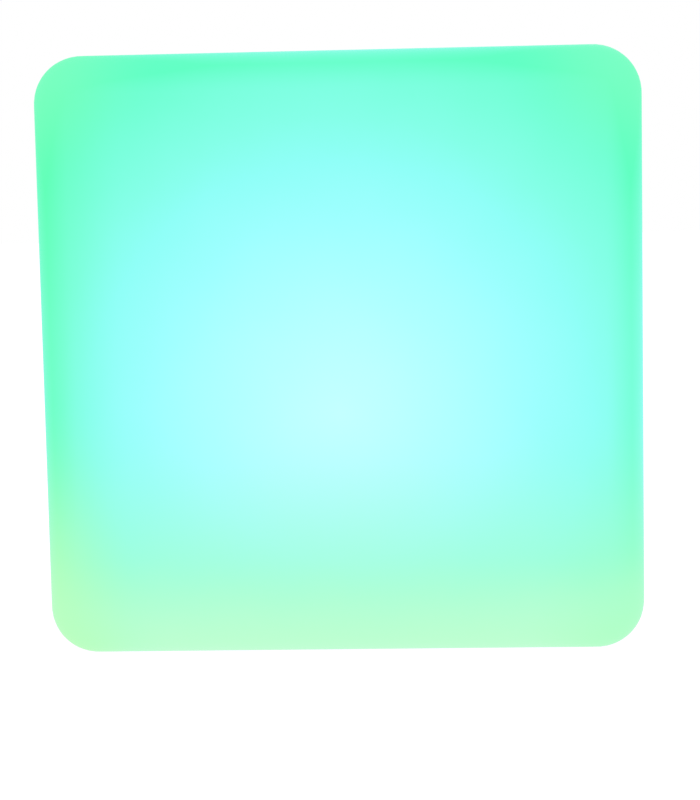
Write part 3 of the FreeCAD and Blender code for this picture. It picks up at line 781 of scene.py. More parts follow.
def cleaned(piece, sharp=35):
    """Merges points that lie on each other, so that no face has shrunk to a line."""
    form = bmesh.new()
    form.from_mesh(piece.data)
    bmesh.ops.remove_doubles(form, verts=form.verts, dist=0.002 * mm)
    bmesh.ops.dissolve_degenerate(form, edges=form.edges, dist=0.001 * mm)
    form.to_mesh(piece.data)
    form.free()
    return shaded(piece, sharp)


def combined(name, *pieces):
    """Several pieces as one mesh."""
    form = bmesh.new()
    for piece in pieces:
        form.from_mesh(piece.data)
        bpy.data.objects.remove(piece)
    return finished(name, form)


# %% Outlines and turned pieces


def rounded(points):
    """An outline whose corners are rounded by the length in a point's third number."""
    steps = 4
    outline = []
    for index, (radius, height, *length) in enumerate(points):
        corner = Vector((radius, height))
        if not any(length):
            outline.append((radius, height))
            continue
        ends = []
        for other in (points[index - 1], points[(index + 1) % len(points)]):
            way = Vector(other[:2]) - corner
            ends.append(corner + way.normalized() * min(length[0], 0.45 * way.length))
        for share in [step / steps for step in range(steps + 1)]:
            near = ends[0].lerp(corner, share)
            outline.append(tuple(near.lerp(corner.lerp(ends[1], share), share)))
    return outline


def rod(radius, low, high, low_round=0, high_round=0):
    """The outline of a plain rod, with its two ends rounded."""
    return rounded([(0, low), (radius, low, low_round), (radius, high, high_round), (0, high)])


def turned(name, outline, steps=48, relief=None, at=(0, 0)):
    """Spins an outline; one that ends where it starts makes a ring."""
    form = bmesh.new()
    is_ring = outline[0] == outline[-1]
    rings = []
    for radius, height in outline[:-1] if is_ring else outline:
        ring = []
        for step in range(steps if radius > 0 else 1):
            turn = 2 * math.pi * step / steps
            reach = relief(radius, turn, height) if relief else radius
            place = (at[0] + reach * math.cos(turn), at[1] + reach * math.sin(turn), height)
            ring.append(form.verts.new(Vector(place) * mm))
        rings.append(ring)
    for lower, upper in zip(rings, rings[1:] + rings[:1] if is_ring else rings[1:]):
        for step in range(steps):
            ends = [(lower, step), (lower, step + 1), (upper, step + 1), (upper, step)]
            form.faces.new(dict.fromkeys(ring[place % len(ring)] for ring, place in ends))
    bmesh.ops.recalc_face_normals(form, faces=form.faces)
    return finished(name, form)


# %% Extruded pieces


def walled(name, *outlines):
    """Two like outlines in space, each closed by a face and joined by walls."""
    form = bmesh.new()
    first, last = ([form.verts.new(Vector(place) * mm) for place in outline] for outline in outlines)
    form.faces.new(first)
    form.faces.new(last)
    for step in range(len(first)):
        form.faces.new([first[step - 1], first[step], last[step], last[step - 1]])
    bmesh.ops.recalc_face_normals(form, faces=form.faces)
    return finished(name, form)


def extruded(name, outline, low, high, taper=1.0, at=(0, 0)):
    """Gives a flat outline a height, drawn in towards its far end by a taper."""
    bottom = [(at[0] + x, at[1] + y, low) for x, y in outline]
    top = [(at[0] + x * taper, at[1] + y * taper, high) for x, y in outline]
    return walled(name, bottom, top)


def folded(name, side_view, width):
    """A strip of sheet metal: its outline in x and z, with a width across."""
    return walled(name, *([(x, y, z) for x, z in side_view] for y in (-width / 2, width / 2)))


def block(name, size, low, high, taper=1.0, at=(0, 0)):
    """An upright block of a length along x and a width along y."""
    x, y = size[0] / 2, size[1] / 2
    return extruded(name, [(-x, -y), (x, -y), (x, y), (-x, y)], low, high, taper, at)


# %% Softened copies of solids


def eased(piece, width, segments=2, least_turn=30):
    """Rounds the edges that turn by more than an angle; one segment only breaks them."""
    bevel = piece.modifiers.new("edges", "BEVEL")
    bevel.width = width * mm
    bevel.segments = segments
    bevel.angle_limit = math.radians(least_turn)
    return cleaned(baked(piece))


def softened(name, node, width):
    """The node's form with its edges rounded by a width."""
    form = solid_form(node)
    bmesh.ops.dissolve_limit(form, angle_limit=math.radians(1), verts=form.verts, edges=form.edges)
    return eased(finished(name, form), width, least_turn=50)


# %% Geometry Nodes that repeat and that carve


def repeat_tree():
    """Sets a thing on each point, turned by the point's own angle."""
    inputs = {"Places": "Geometry", "Thing": "Object", "Finish": "Material"}
    graph, given = growing("repeat_on_points", inputs)
    thing = graph.node("GeometryNodeObjectInfo", {}, {"Object": given["Thing"]}, out="Geometry")
    angle = graph.node("GeometryNodeInputNamedAttribute", {"data_type": "FLOAT"}, {"Name": "turn"})
    many = on_points(graph, given["Places"], thing, graph.vector(z=angle))
    return close_tree(graph, many, given["Finish"])


def carve_tree():
    """Cuts one form out of another."""
    graph, given = growing("carve", {"Body": "Geometry", "Cutter": "Object", "Finish": "Material"})
    cutter = graph.node("GeometryNodeObjectInfo", {}, {"Object": given["Cutter"]}, out="Geometry")
    return close_tree(graph, cut(graph, given["Body"], [cutter]), given["Finish"])


repeating, carving = repeat_tree(), carve_tree()


def repeated(name, thing, places, slot, turns=None, finish=None):
    """The thing at each place, in one mesh; the thing itself goes."""
    points = bpy.data.meshes.new(name)
    points.from_pydata([Vector(place) * mm for place in places], [], [])
    angles = points.attributes.new("turn", "FLOAT", "POINT")
    angles.data.foreach_set("value", turns or [0.0] * len(places))
    piece = grown(name, repeating, {"Thing": thing, "Finish": finish or finishes[slot]}, points)
    bpy.data.objects.remove(thing)
    return shaded(piece)


def carved(piece, cutter, slot):
    """The piece without what the cutter takes away; the cutter goes."""
    name = piece.name
    piece.name = "uncut"
    left = grown(name, carving, {"Cutter": cutter, "Finish": finishes[slot]}, piece.data)
    for spent in (piece, cutter):
        bpy.data.objects.remove(spent)
    return cleaned(left)


# %% Give a piece its finish, slot and body


def placed(piece, slot, *nodes, body="root", finish=None):
    """Dresses a piece and lets it ride, in place of the nodes that are named."""
    # Broad faces set the shading of the narrow ones beside them, so that flats look flat.
    weigh = piece.modifiers.new("weigh", "WEIGHTED_NORMAL")
    weigh.keep_sharp = True
    baked(piece)
    piece.data.materials.clear()
    piece.data.materials.append(finish or finishes[slot])
    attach(piece, body)
    if nodes:
        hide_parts(*nodes)
    print(piece.name, "in", slot, "for", ", ".join(nodes) or "no node")


def soft_copies(rows):
    """Softened copies that stand for their nodes: name, node, slot and width of each."""
    for name, node, slot, width in rows:
        placed(softened(name, node, width), slot, node)


# %% [markdown]
# ## The base plate and its seal
# The plate closes the well. It is moulded in one piece with the tub that holds the electronics, and
# a slot-shaped pocket in its face keeps the button and the port clear of the ground. The solid
# already has all of this, so its own mesh is softened, and two holes that show are made truly round,
# each with a small chamfer. The seal is a plain flat ring of silicone.

# %% Base plate
pocket_face = box_of("charge_socket")[0].z


def chamfered_drill(node, radius):
    """A cutter that leaves a round hole with a chamfer at the pocket's face."""
    below, above = pocket_face - 0.5, pocket_face + 3.0
    outline = [(0, below), (radius + 0.75, below), (radius, pocket_face + 0.25), (radius, above)]
    return turned("drill", outline + [(0, above)], 72, at=middle_of(node))


holes = combined("drills", chamfered_drill("charge_socket", 4.46), chamfered_drill("indicator_pipe", 1.56))
plate = carved(softened("base_plate", "module_base", 0.45), holes, "white_plastic")
placed(plate, "white_plastic", "module_base")

# %% Clamp and rings
soft_copies([("cell_clamp", "battery_clamp", "white_plastic", 0.25)])
seal_low, seal_high = levels(box_of("flange_gasket"))
seal_edge = opening_radius + 6.0
seal_outline = rounded([
    (opening_radius, seal_low, 0.4), (seal_edge, seal_low, 0.4),
    (seal_edge, seal_high, 0.4), (opening_radius, seal_high, 0.4),
])
placed(turned("plate_seal", seal_outline + seal_outline[:1], 128), "pale_rubber", "flange_gasket")
soft_copies([
    ("button_ring", "button_seal", "black_rubber", 0.2),
    ("socket_ring", "socket_seal", "black_rubber", 0.2),
    ("lead_bush", "lead_grommet", "black_rubber", 0.2),
])

# %% [markdown]
# ## Screws
# Four stainless screws with low round heads hold the plate, in brass inserts that were pressed into
# the cube. Nine small zinc-plated screws hold the rest. A screw is a turned outline whose radius
# waves along a helix, with the drive carved out of its head. No two stand at the same angle, so
# each point gets a seeded random turn.

# %% Helical relief and knurls


def wave(share):
    """Rises from 0 to 1 and falls back as the share goes from 0 to 1."""
    return 1 - abs(2 * (share % 1) - 1)


def thread_relief(radius, depth, pitch, low, high):
    """A helix cut into the part of an outline that has this radius and lies between two heights."""

    def relief(reach, turn, height):
        if abs(reach - radius) > 0.01 or not low < height < high:
            return reach
        return reach - depth * wave(height / pitch - turn / (2 * math.pi))

    return relief


def steps_between(start, end, spacing):
    count = max(2, int(abs(end - start) / spacing))
    return [start + (end - start) * step / count for step in range(1, count)]


# %% Outlines of the drives


def hexagon(radius):
    turns = [corner * math.pi / 3 for corner in range(6)]
    return [(radius * math.cos(turn), radius * math.sin(turn)) for turn in turns]


def cross(reach, arm):
    """The outline of a cross drive: one quarter of it, turned four times."""
    outline = []
    for quarter in range(4):
        turn = Matrix.Rotation(quarter * math.pi / 2, 2)
        outline += [tuple(turn @ Vector(point)) for point in ((arm, arm), (arm, reach), (-arm, reach))]
    return outline


# %% One screw


def screw(name, radius, head, under, tip, pitch, drive, drive_depth):
    """A screw with a low round head of a radius and height; its drive is a flat outline."""
    head_radius, head_height = head
    way = 1 if tip > under else -1
    top = under - way * head_height
    outline = rounded([
        (0, top), (0.66 * head_radius, top, 0.25 * head_radius),
        (0.94 * head_radius, under - way * 0.5 * head_height, 0.35 * head_radius),
        (head_radius, under - way * 0.1, 0.1), (head_radius, under), (radius, under),
    ])
    outline += [(radius, height) for height in steps_between(under, tip, pitch / 6)]
    outline += [(0.55 * radius, tip), (0, tip)]
    plain_shank, thread_depth, drive_taper = 0.8, 0.16 * pitch + 0.1, 0.75
    low, high = sorted((under + way * plain_shank, tip))
    thread = thread_relief(radius, thread_depth, pitch, low, high)
    body = turned(name + "_body", outline, 28, thread)
    ends = sorted((top - way * 0.5, top + way * drive_depth))
    narrow = [(drive_taper * x, drive_taper * y) for x, y in drive]
    start, taper = (drive, drive_taper) if way > 0 else (narrow, 1 / drive_taper)
    return carved(body, extruded("drive", start, *ends, taper), "zinc_plate")


# %% All the screws
dice = np.random.default_rng(7)


def screws(node, slot, radius, head, pitch, drive, drive_depth, heads_up=True):
    # A Vector keeps seven digits, so its metres are divided here as plain numbers.
    low, high = (height / mm for height in levels(islands(node, unit=1)[0]))
    under, tip = (high - head[1], low) if heads_up else (low + head[1], high)
    places = spots_of(node)
    turns = dice.uniform(0, 2 * math.pi, len(places)).tolist()
    thing = screw(node + "_one", radius, head, under, tip, pitch, drive, drive_depth)
    placed(repeated(node + "_turned", thing, places, slot, turns), slot, node)


screws("flange_screws", "stainless", 2.0, (3.8, 2.4), 0.7, hexagon(1.44), 1.5, heads_up=False)
for node in ("clamp_screws", "board_screws", "led_board_screws", "dome_screws"):
    screws(node, "zinc_plate", 1.3, (2.7, 1.9), 1.0, cross(1.5, 0.32), 1.2)

# %% Brass inserts
insert_reach, insert_bore, knurl_depth, ridge_count = insert_radius - 0.05, 2.1, 0.25, 18
insert_foot, insert_top = insert_low.z, insert_high.z


def knurl_relief(reach, turn, height):
    """Diamonds on two bands, with a plain groove between them."""
    if reach < insert_reach - 0.01:
        return reach
    share = (height - insert_foot) / (insert_top - insert_foot)
    ridges = ridge_count * turn / (2 * math.pi)
    in_band = 0.1 < share < 0.42 or 0.58 < share < 0.9
    crest = max(wave(ridges + height), wave(ridges - height)) if in_band else 0.0
    return reach - knurl_depth * (1 - crest)


heights = [insert_foot, *steps_between(insert_foot, insert_top, 0.25), insert_top]
insert_outline = [(insert_reach, height) for height in heights]
insert_outline = [(insert_bore, insert_foot), *insert_outline, (insert_bore, insert_top)]
insert = turned("insert_one", insert_outline + insert_outline[:1], 72, knurl_relief)
inserts = repeated("knurled_inserts", insert, spots_of("threaded_inserts"), "brass")
placed(inserts, "brass", "threaded_inserts")

# %% [markdown]
# ## Button and indicator light
# The button is a round cap with a dished face. Its rim stops it from falling out, and its stem
# presses the plunger of the switch. The power symbol is printed on it, a broken circle and a bar.
# The light beside it is the end of a clear rod that carries the light of a small lamp on the board.

# %% The button and its symbol
button_at = middle_of("power_button")
button_outline = rounded([
    (0, 5.5), (4.9, 5.22, 1.2), (6.0, 5.2, 0.6), (6.0, 10.85), (7.65, 10.85, 0.25), (7.65, 12.05, 0.25),
    (2.15, 12.05, 0.4), (2.15, 14.5, 0.3), (0, 14.5),
])
button = turned("button_cap", button_outline, 96, at=button_at)
placed(button, "grey_plastic", "power_button", body="button")


def broken_circle(inner, outer, gap_degrees):
    """The outline of a ring that is open at +y."""
    steps = 40
    start = math.radians(90 + gap_degrees / 2)
    sweep = math.radians(360 - gap_degrees)
    turns = [start + sweep * step / steps for step in range(steps + 1)]
    path = [(outer, turn) for turn in turns] + [(inner, turn) for turn in reversed(turns)]
    return [(reach * math.cos(turn), reach * math.sin(turn)) for reach, turn in path]


print_low, print_high = 5.28, 5.8
circle = extruded("symbol_circle", broken_circle(1.75, 2.25, 70), print_low, print_high, at=button_at)
bar = block("symbol_bar", (0.5, 2.2), print_low, print_high, at=(button_at[0], button_at[1] + 1.6))
placed(combined("power_symbol", circle, bar), "white_plastic", body="button")

# %% The indicator's rod
pipe_outline = rounded([
    (0, 7.15), (1.1, 7.2, 0.5), (1.45, 7.5, 0.2), (1.45, 10.0), (2.15, 10.0, 0.1), (2.15, 11.0, 0.2),
    (1.45, 11.0), (1.45, 20.4, 0.2), (0, 20.4),
])
pipe = turned("indicator_rod", pipe_outline, at=middle_of("indicator_pipe"))
placed(pipe, "clear_plastic", "indicator_pipe")

# %% [markdown]
# ## The charging port
# The socket is a square body with a round nose, a sprung contact and a pin in its bore. A rubber
# flap closes it. The real flap is one moulding: a disc with a pull tab, a strap that thins to a web
# where it bends, and a pad whose barbed stem is pulled through a hole in the floor. It is built as
# overlapping forms that a voxel remesh melts together, which also rounds every corner as in rubber.

# %% Socket: a block round a smooth barrel
socket_low, socket_high = levels(box_of("charge_socket"))
socket_at = middle_of("charge_socket")
socket_x, socket_y = socket_at
bore, bore_top, nose = 2.8, 17.0, 4.35
body = eased(block("socket_block", (11, 11), socket_low + 3.3, socket_high, at=socket_at), 0.3)
through = turned("through", rod(4.3, 0, 30), 64, at=socket_at)
body = carved(body, through, "black_plastic")
barrel_outline = rounded([
    (0, bore_top), (bore, bore_top), (bore, socket_low + 0.1, 0.3), (nose, socket_low, 0.35),
    (nose, socket_high - 0.1, 0.1), (0, socket_high - 0.1),
])
barrel = turned("socket_barrel", barrel_outline, 96, at=socket_at)
spring_slot = block("slot", (2.4, 1.0), bore_top - 6.0, bore_top - 0.05, at=(socket_x, socket_y - bore - 0.2))
barrel = carved(barrel, spring_slot, "black_plastic")
placed(combined("socket_body", body, barrel), "black_plastic", "charge_socket")

# %% Its contact and pin
spring_view = [(0, 0), (0.15, 0), (0.15, 2.0), (0.75, 4.0), (0.15, 5.8), (0, 5.8), (0.55, 4.0), (0, 2.0)]
spring = folded("sprung_contact", spring_view, 2.0)
spring_place = Vector((socket_x, socket_y - bore - 0.25, bore_top - 5.95)) * mm
spring.data.transform(Matrix.Translation(spring_place) @ Matrix.Rotation(math.pi / 2, 4, "Z"))
placed(spring, "brass", "socket_contact")
pin = turned("centre_pin", rod(0.98, *levels(box_of("socket_pin")), 0.5, 0.1), 32, at=socket_at)
placed(pin, "nickel", "socket_pin")

# %% Forms that the flap is melted from
cap_low = box_of("port_cap")[0].z
cap_high = cap_low + 1.4
hinge_x, web_half, web_thick = 23.5, 1.6, 0.6
anchor_x = hinge_x + 5.5
stub_top, barb_low, barb_top = 9.0, 10.05, 11.9


def strap(start, end, low=cap_low, high=cap_high, width=5.8):
    """A flat bar along x, on the line from the socket to the anchor."""
    return block("strap", (end - start, width), low, high, at=((start + end) / 2, socket_y))


stub_outline = rounded([(0, cap_low + 0.4), (2.25, cap_low + 0.4), (2.1, stub_top, 0.5), (0, stub_top)])
barb_outline = rounded([
    (0, cap_high - 0.4), (1.5, cap_high - 0.4), (1.5, barb_low), (2.25, barb_low, 0.15),
    (1.25, barb_top, 0.4), (0, barb_top),
])
tab_end = socket_x - 10.0
flap_forms = [
    turned("disc", rod(6.95, cap_low, cap_high, 0.5, 0.3), 64, at=socket_at),
    turned("stub", stub_outline, at=socket_at),
    strap(tab_end, socket_x),
    strap(socket_x, hinge_x - web_half),
    strap(socket_x, anchor_x, low=cap_high - web_thick),
    strap(hinge_x + web_half, anchor_x),
    turned("pad", rod(3.75, cap_low, cap_high, 0.5, 0.3), at=(anchor_x, socket_y)),
    turned("barb", barb_outline, 40, at=(anchor_x, socket_y)),
]
for ridge in range(3):
    start = tab_end + 0.35 + 0.95 * ridge
    flap_forms.append(strap(start, start + 0.5, cap_low - 0.5, cap_low + 0.5, 4.6))

# %% Melt the flap
flap = combined("rubber_flap", *flap_forms)
melt = flap.modifiers.new("melt", "REMESH")
melt.mode = "VOXEL"
melt.voxel_size = 0.19 * mm
melt.use_smooth_shade = True
calm = flap.modifiers.new("calm", "SMOOTH")
calm.factor = 0.5
calm.iterations = 2
flap = cleaned(baked(flap), 180)
flap.data.materials.append(finishes["black_rubber"])
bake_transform(flap)
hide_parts("port_cap", "cap_anchor")
print("flap:", len(flap.data.polygons), "faces")

# %% [markdown]
# ## The switch
# A tact switch has a black body, a thin metal cover that four small rivets hold, and a plunger that
# springs back. The plunger rides with the button that presses it.

# %% Switch body, cover and plunger
switch_low, switch_high = levels(box_of("tact_switch"))
switch_at = middle_of("tact_switch")
ways_out = [(x, y) for x in (-1, 1) for y in (-1, 1)]


def about_switch(reach, height=0.0):
    """Four places round the switch."""
    return [(switch_at[0] + x * reach, switch_at[1] + y * reach, height) for x, y in ways_out]


def pierced(name, size, low, high):
    """A square plate with a square hole for the plunger."""
    hole = block("hole", (2.9, 2.9), switch_low - 1, 20.0, at=switch_at)
    return carved(block(name, (size, size), low, high, at=switch_at), hole, "black_plastic")


cover_top = switch_low + 0.35
placed(pierced("switch_body", 6.0, cover_top, switch_high), "black_plastic", "tact_switch")
cover = pierced("cover_plate", 5.8, switch_low + 0.1, cover_top)
rivet = turned("rivet_one", rod(0.45, switch_low, switch_low + 0.3, 0.2), 16)
rivets = repeated("rivets", rivet, about_switch(2.3), "nickel")
placed(combined("switch_cover", cover, rivets), "nickel", "tact_switch")
plunger = softened("switch_button", "switch_plunger", 0.25)
placed(plunger, "black_plastic", "switch_plunger", body="button")

# %% [markdown]
# ## Cells
# Two round cells lie side by side in the saddles of the tub. Each is a steel can in a shrunk sleeve
# that curls over both ends, with a white ring round the raised pole. They point opposite ways, so
# that short nickel strips join them in a row.

# %% Outline and zones of a cell
cell_boxes = sorted(islands("battery_cells"), key=lambda box: box[0].y)
cell_end = cell_boxes[0][1].x
cell_outline = rounded([
    (0, -cell_end + 0.1), (7.6, -cell_end + 0.1), (7.7, -cell_end + 0.02, 0.05), (9.15, -cell_end, 0.9),
    (9.15, cell_end - 3.6), (8.85, cell_end - 3.0, 0.5), (9.15, cell_end - 2.4),
    (9.15, cell_end - 0.9, 0.9), (7.7, cell_end - 0.85, 0.05), (7.6, cell_end - 1.0), (3.9, cell_end - 1.0),
    (3.7, cell_end, 0.3), (0, cell_end),
])


def from_axis(place):
    return math.hypot(place.x, place.y)


def set_zones(piece, rule):
    """Stores a zone on each face, by a rule of its middle in millimetres."""
    zone = piece.data.attributes.new("zone", "FLOAT", "FACE")
    zone.data.foreach_set("value", [float(rule(face.center / mm)) for face in piece.data.polygons])
    return piece


def cell_zone(middle):
    """0 is the sleeve, 1 the bare can and 2 the ring round the raised pole."""
    if from_axis(middle) > 7.65:
        return 0
    return 2 if middle.z > cell_end - 1.2 and from_axis(middle) > 3.95 else 1


# %% Two cells, the second one turned end for end
for number, (box, way) in enumerate(zip(cell_boxes, (90, -90))):
    cell = set_zones(turned(f"cell_{number}", cell_outline, 64), cell_zone)
    turn = Matrix.Rotation(math.radians(way), 4, "Y")
    cell.data.transform(Matrix.Translation(centre_of(box) * mm) @ turn)
    placed(cell, "cell_sleeve", "battery_cells")
soft_copies([("cell_strips", "nickel_tabs", "nickel", 0.05)])
guard = softened("guard_board", "protection_board", 0.1)
placed(guard, "green_board", "protection_board", finish=upright_board)

# %% [markdown]
# ## The control board
# Chips with bent legs, a ferrite coil, two capacitors, small resistors and the connectors sit on
# top. The switch, the socket and the small lamp hang under it. Legs, resistors and solder joints
# repeat, so each is made once and set on points.

# %% Board and chips
soft_copies([("control_board_cut", "control_board", "green_board", 0.12)])
board_foot, board_top = levels(box_of("control_board"))
quarter = math.pi / 2


def leg(reach, rise):
    """A bent leg that leaves a chip's side along +x and ends flat on the board."""
    side_view = [
        (0, rise + 0.12), (0.35 * reach, rise + 0.12), (0.6 * reach, 0.14), (reach, 0.14), (reach, 0),
        (0.5 * reach, 0), (0.3 * reach, rise), (0, rise),
    ]
    return folded("leg", side_view, 0.28)


def chips(node, legs_a_side, leg_pitch, leg_reach, turns):
    """Bodies with legs on the sides that face the given turns, within each solid's box."""
    low, high = islands(node)[0]
    size = high - low
    length = size.x - 2 * leg_reach
    width = length if len(turns) == 4 else size.y
    body = eased(block(node + "_one", (length, width), 0.1, size.z, 0.94), 0.08, segments=1)
    feet = [spot + Vector((0, 0, board_top)) for spot in spots_of(node)]
    bodies = repeated(node + "_bodies", body, feet, "chip_black")
    places, leg_turns = [], []
    for foot in feet:
        for turn in turns:
            for step in range(legs_a_side):
                along = (step - (legs_a_side - 1) / 2) * leg_pitch
                out = Vector((length / 2 - 0.1, along, 0))
                out.rotate(Matrix.Rotation(turn, 3, "Z"))
                places.append(foot + out)
                leg_turns.append(turn)
    legs = repeated(node + "_legs", leg(leg_reach + 0.1, 0.5 * size.z), places, "nickel", leg_turns)
    placed(bodies, "chip_black", node)
    placed(legs, "nickel", node)


chips("control_chip", 8, 0.6, 0.8, [way * quarter for way in range(4)])
chips("channel_drivers", 3, 0.95, 0.55, [0.0, math.pi])

# %% Coil
coil_top = box_of("inductor")[1].z
coil_outline = rounded([
    (0, board_top), (3.7, board_top, 0.2), (3.7, board_top + 0.7, 0.1), (3.85, board_top + 0.8, 0.1),
    (3.85, coil_top - 0.9, 0.2), (3.3, coil_top - 0.75, 0.1), (3.3, coil_top, 0.35),
    (1.2, coil_top, 0.1), (1.1, coil_top - 0.25), (0, coil_top - 0.25),
])
placed(turned("ferrite_coil", coil_outline, at=middle_of("inductor")), "chip_black", "inductor")

# %% Capacitors
can_top = box_of("capacitors")[1].z
can_outline = rounded([
    (0, board_top), (3.15, board_top, 0.1), (3.15, board_top + 0.9, 0.1), (2.95, board_top + 0.95),
    (2.95, board_top + 1.6), (2.65, board_top + 1.85, 0.2), (2.95, board_top + 2.1),
    (2.95, can_top, 0.45), (2.2, can_top), (0.6, can_top), (0, can_top),
])


def can_zone(middle):
    """1 is the foot and 2 the mark on one side of the top."""
    if middle.z < board_top + 0.93:
        return 1
    return 2 if middle.z > can_top - 0.1 and middle.x > 0.78 * from_axis(middle) else 0


can = set_zones(turned("can_one", can_outline), can_zone)
cans = repeated("smoothing_cans", can, spots_of("capacitors"), "capacitor_can")
placed(cans, "capacitor_can", "capacitors")

# %% Resistors
resistor_end = 0.5


def split_across(piece, reach):
    """Adds edges round a piece at two places along x."""
    form = bmesh.new()
    form.from_mesh(piece.data)
    for x in (-reach, reach):
        parts = form.verts[:] + form.edges[:] + form.faces[:]
        bmesh.ops.bisect_plane(form, geom=parts, plane_co=(x * mm, 0, 0), plane_no=(1, 0, 0))
    form.to_mesh(piece.data)
    form.free()
    return piece


resistor = split_across(block("resistor_one", (1.6, 0.8), 0, 0.5), resistor_end)
set_zones(resistor, lambda middle: abs(middle.x) > resistor_end)
upright_places = [(x, -26.2) for x in (-30, -24, -18, -12)]
upright_places += [(x, y) for x in (-16, -2) for y in (-6.5, -10.5)]
level_places = [(x, -15.5) for x in (-12.5, -9, -5.5, 5, 8.5, 12)]
places = [(x, y, board_top) for x, y in upright_places + level_places]
turns = [quarter] * len(upright_places) + [0.0] * len(level_places)
resistors = repeated("resistors", resistor, places, "chip_black", turns, resistor_finish)
placed(resistors, "chip_black", finish=resistor_finish)

# %% Solder joints
joint_outline = [(0.9, 0), (0.78, 0.2), (0.5, 0.42), (0.3, 0.6), (0.22, 0.7), (0, 0.72)]
socket_legs = [(-3.2, -3.0), (-3.2, 3.0), (1.6, 3.8)]
four_pins = [-3.75, -1.25, 1.25, 3.75]


def joints(name, way, height, places):
    """Solder that stands on the board or hangs under it."""
    outline = [(0, 0)] + [(reach, way * rise) for reach, rise in joint_outline]
    drop = turned(name + "_one", outline, 20)
    many = repeated(name, drop, [(x, y, height) for x, y in places], "nickel")
    placed(shaded(many, 60), "nickel")


pins_above = [place[:2] for place in about_switch(2.2)]
pins_above += [(socket_x + x, socket_y + y) for x, y in socket_legs]
pins_below = [(22.75, -7.0), (25.25, -7.0)] + [(x, -25.0) for x in four_pins]
joints("joints_above", 1, board_top, pins_above)
joints("joints_below", -1, board_foot, pins_below)

# %% [markdown]
# ## Connectors and leads
# Undyed nylon plugs stand in open headers. The leads have 1.4 mm of coloured insulation. They are
# short and stiff, and each follows a smooth spline through a few points: up out of the plug, round
# one bend, and into what it feeds.

# %% Headers and plugs
way_pitch = 2.5
soft_copies([
    ("battery_socket", "battery_header", "nylon", 0.2),
    ("lamp_socket", "led_header", "nylon", 0.2),
])
for name, node, ways in (("battery_plug_body", "battery_plug", 2), ("lamp_plug_body", "led_plug", 4)):
    low, high = box_of(node)
    middle_x = middle_of(node)[0]
    plug = softened(name, node, 0.25)
    window = block("window", (1.0, 0.8), high.z - 3.4, high.z - 1.2)
    places = [(middle_x + (way - (ways - 1) / 2) * way_pitch, low.y, 0) for way in range(ways)]
    windows = repeated("windows", window, places, "nylon")
    placed(carved(plug, windows, "nylon"), "nylon", node)

# %% One lead
lead_radius = 0.68


def lead(name, word, node, points):
    """A round lead along a smooth spline through a few control points."""
    curve = bpy.data.curves.new(name, "CURVE")
    curve.dimensions = "3D"
    curve.bevel_depth = lead_radius * mm
    curve.bevel_resolution = 4
    curve.use_fill_caps = True
    curve.resolution_u = 8
    spline = curve.splines.new("NURBS")
    spline.points.add(len(points) - 1)
    for point, place in zip(spline.points, points):
        point.co = (*(Vector(place) * mm), 1)
    spline.use_endpoint_u = True
    spline.order_u = 3
    line = added(name + "_line", curve)
    piece = added(name, bpy.data.meshes.new_from_object(line))
    bpy.data.objects.remove(line)
    placed(shaded(piece, 60), "lead_" + word, node)


# %% All the leads
inside_plug = box_of("led_plug")[1].z - 0.8
guard_top = box_of("protection_board")[1].z
entry_low, entry_high = box_of("led_terminal")
entry_z = 55.5
for x, word in zip(four_pins, ("red", "green", "blue", "white")):
    route = [(x, -25, z) for z in (inside_plug, 40, 47, 52.4, entry_z)]
    route += [(x, -21.4, entry_z), (x, entry_low.y + 1.6, entry_z)]
    lead("lamp_lead_" + word, word, "led_lead_" + word, route)
for word, way in (("red", 1), ("black", -1)):
    start, end = Vector((24 + 1.25 * way, -7)), Vector((33.35, 12.7 - 1.25 * way))
    route = [(*start, inside_plug), (*start, 37)]
    route += [(*start.lerp(end, share), z) for share, z in ((0.1, 42.6), (0.5, 44.4), (0.9, 42.6))]
    route += [(*end, 37), (*end, guard_top)]
    lead("cell_lead_" + word, word, "battery_lead_" + word, route)

# %% [markdown]
# ## The lid and its lamps
# A milled aluminium plate closes the tub and takes the heat of the lamps. The lamps sit on an
# aluminium board in two rings, and an opal dome over them makes one soft source of them all.

# %% Lid, board and terminal
soft_copies([
    ("lid_plate", "heat_spreader", "aluminium_plate", 0.35),
    ("lamp_board", "led_board", "white_board", 0.12),
])
terminal = softened("lamp_terminal_body", "led_terminal", 0.3)
mouth = block("mouth", (1.7, 3.6), entry_z - 0.85, entry_z + 0.85)
mouths = repeated("mouths", mouth, [(x, entry_low.y, 0) for x in four_pins], "nylon")
screw_well = extruded("well", hexagon(1.045), entry_high.z - 1.6, entry_high.z + 1)
screw_wells = repeated("wells", screw_well, [(x, entry_low.y + 3.0, 0) for x in four_pins], "nylon")
terminal = carved(terminal, combined("entries", mouths, screw_wells), "nylon")
placed(terminal, "nylon", "led_terminal")

# %% Forms of a lamp
lamp_low, lamp_top = levels(islands("led_packages")[0])
case = eased(block("case", (5.0, 4.4), lamp_low + 0.15, lamp_top, 0.95), 0.12, segments=1)
bowl_low, bowl_high = lamp_top - 0.45, lamp_top + 0.2
bowl = turned("bowl", [(0, bowl_low), (1.75, bowl_low), (2.05, bowl_high), (0, bowl_high)], 28)
gel_outline = [
    (0, lamp_top - 0.5), (1.8, lamp_top - 0.5), (1.82, lamp_top - 0.3), (1.0, lamp_top - 0.2),
    (0, lamp_top - 0.17),
]
foot_places = [(x * 1.6, y * 2.25, lamp_low) for x in (-1, 0, 1) for y in (-1, 1)]
lamp_feet = repeated("feet", block("foot", (0.8, 0.5), 0, 0.6), foot_places, "led_case")
lamp_forms = [carved(case, bowl, "led_case"), turned("gel", gel_outline, 28), lamp_feet]


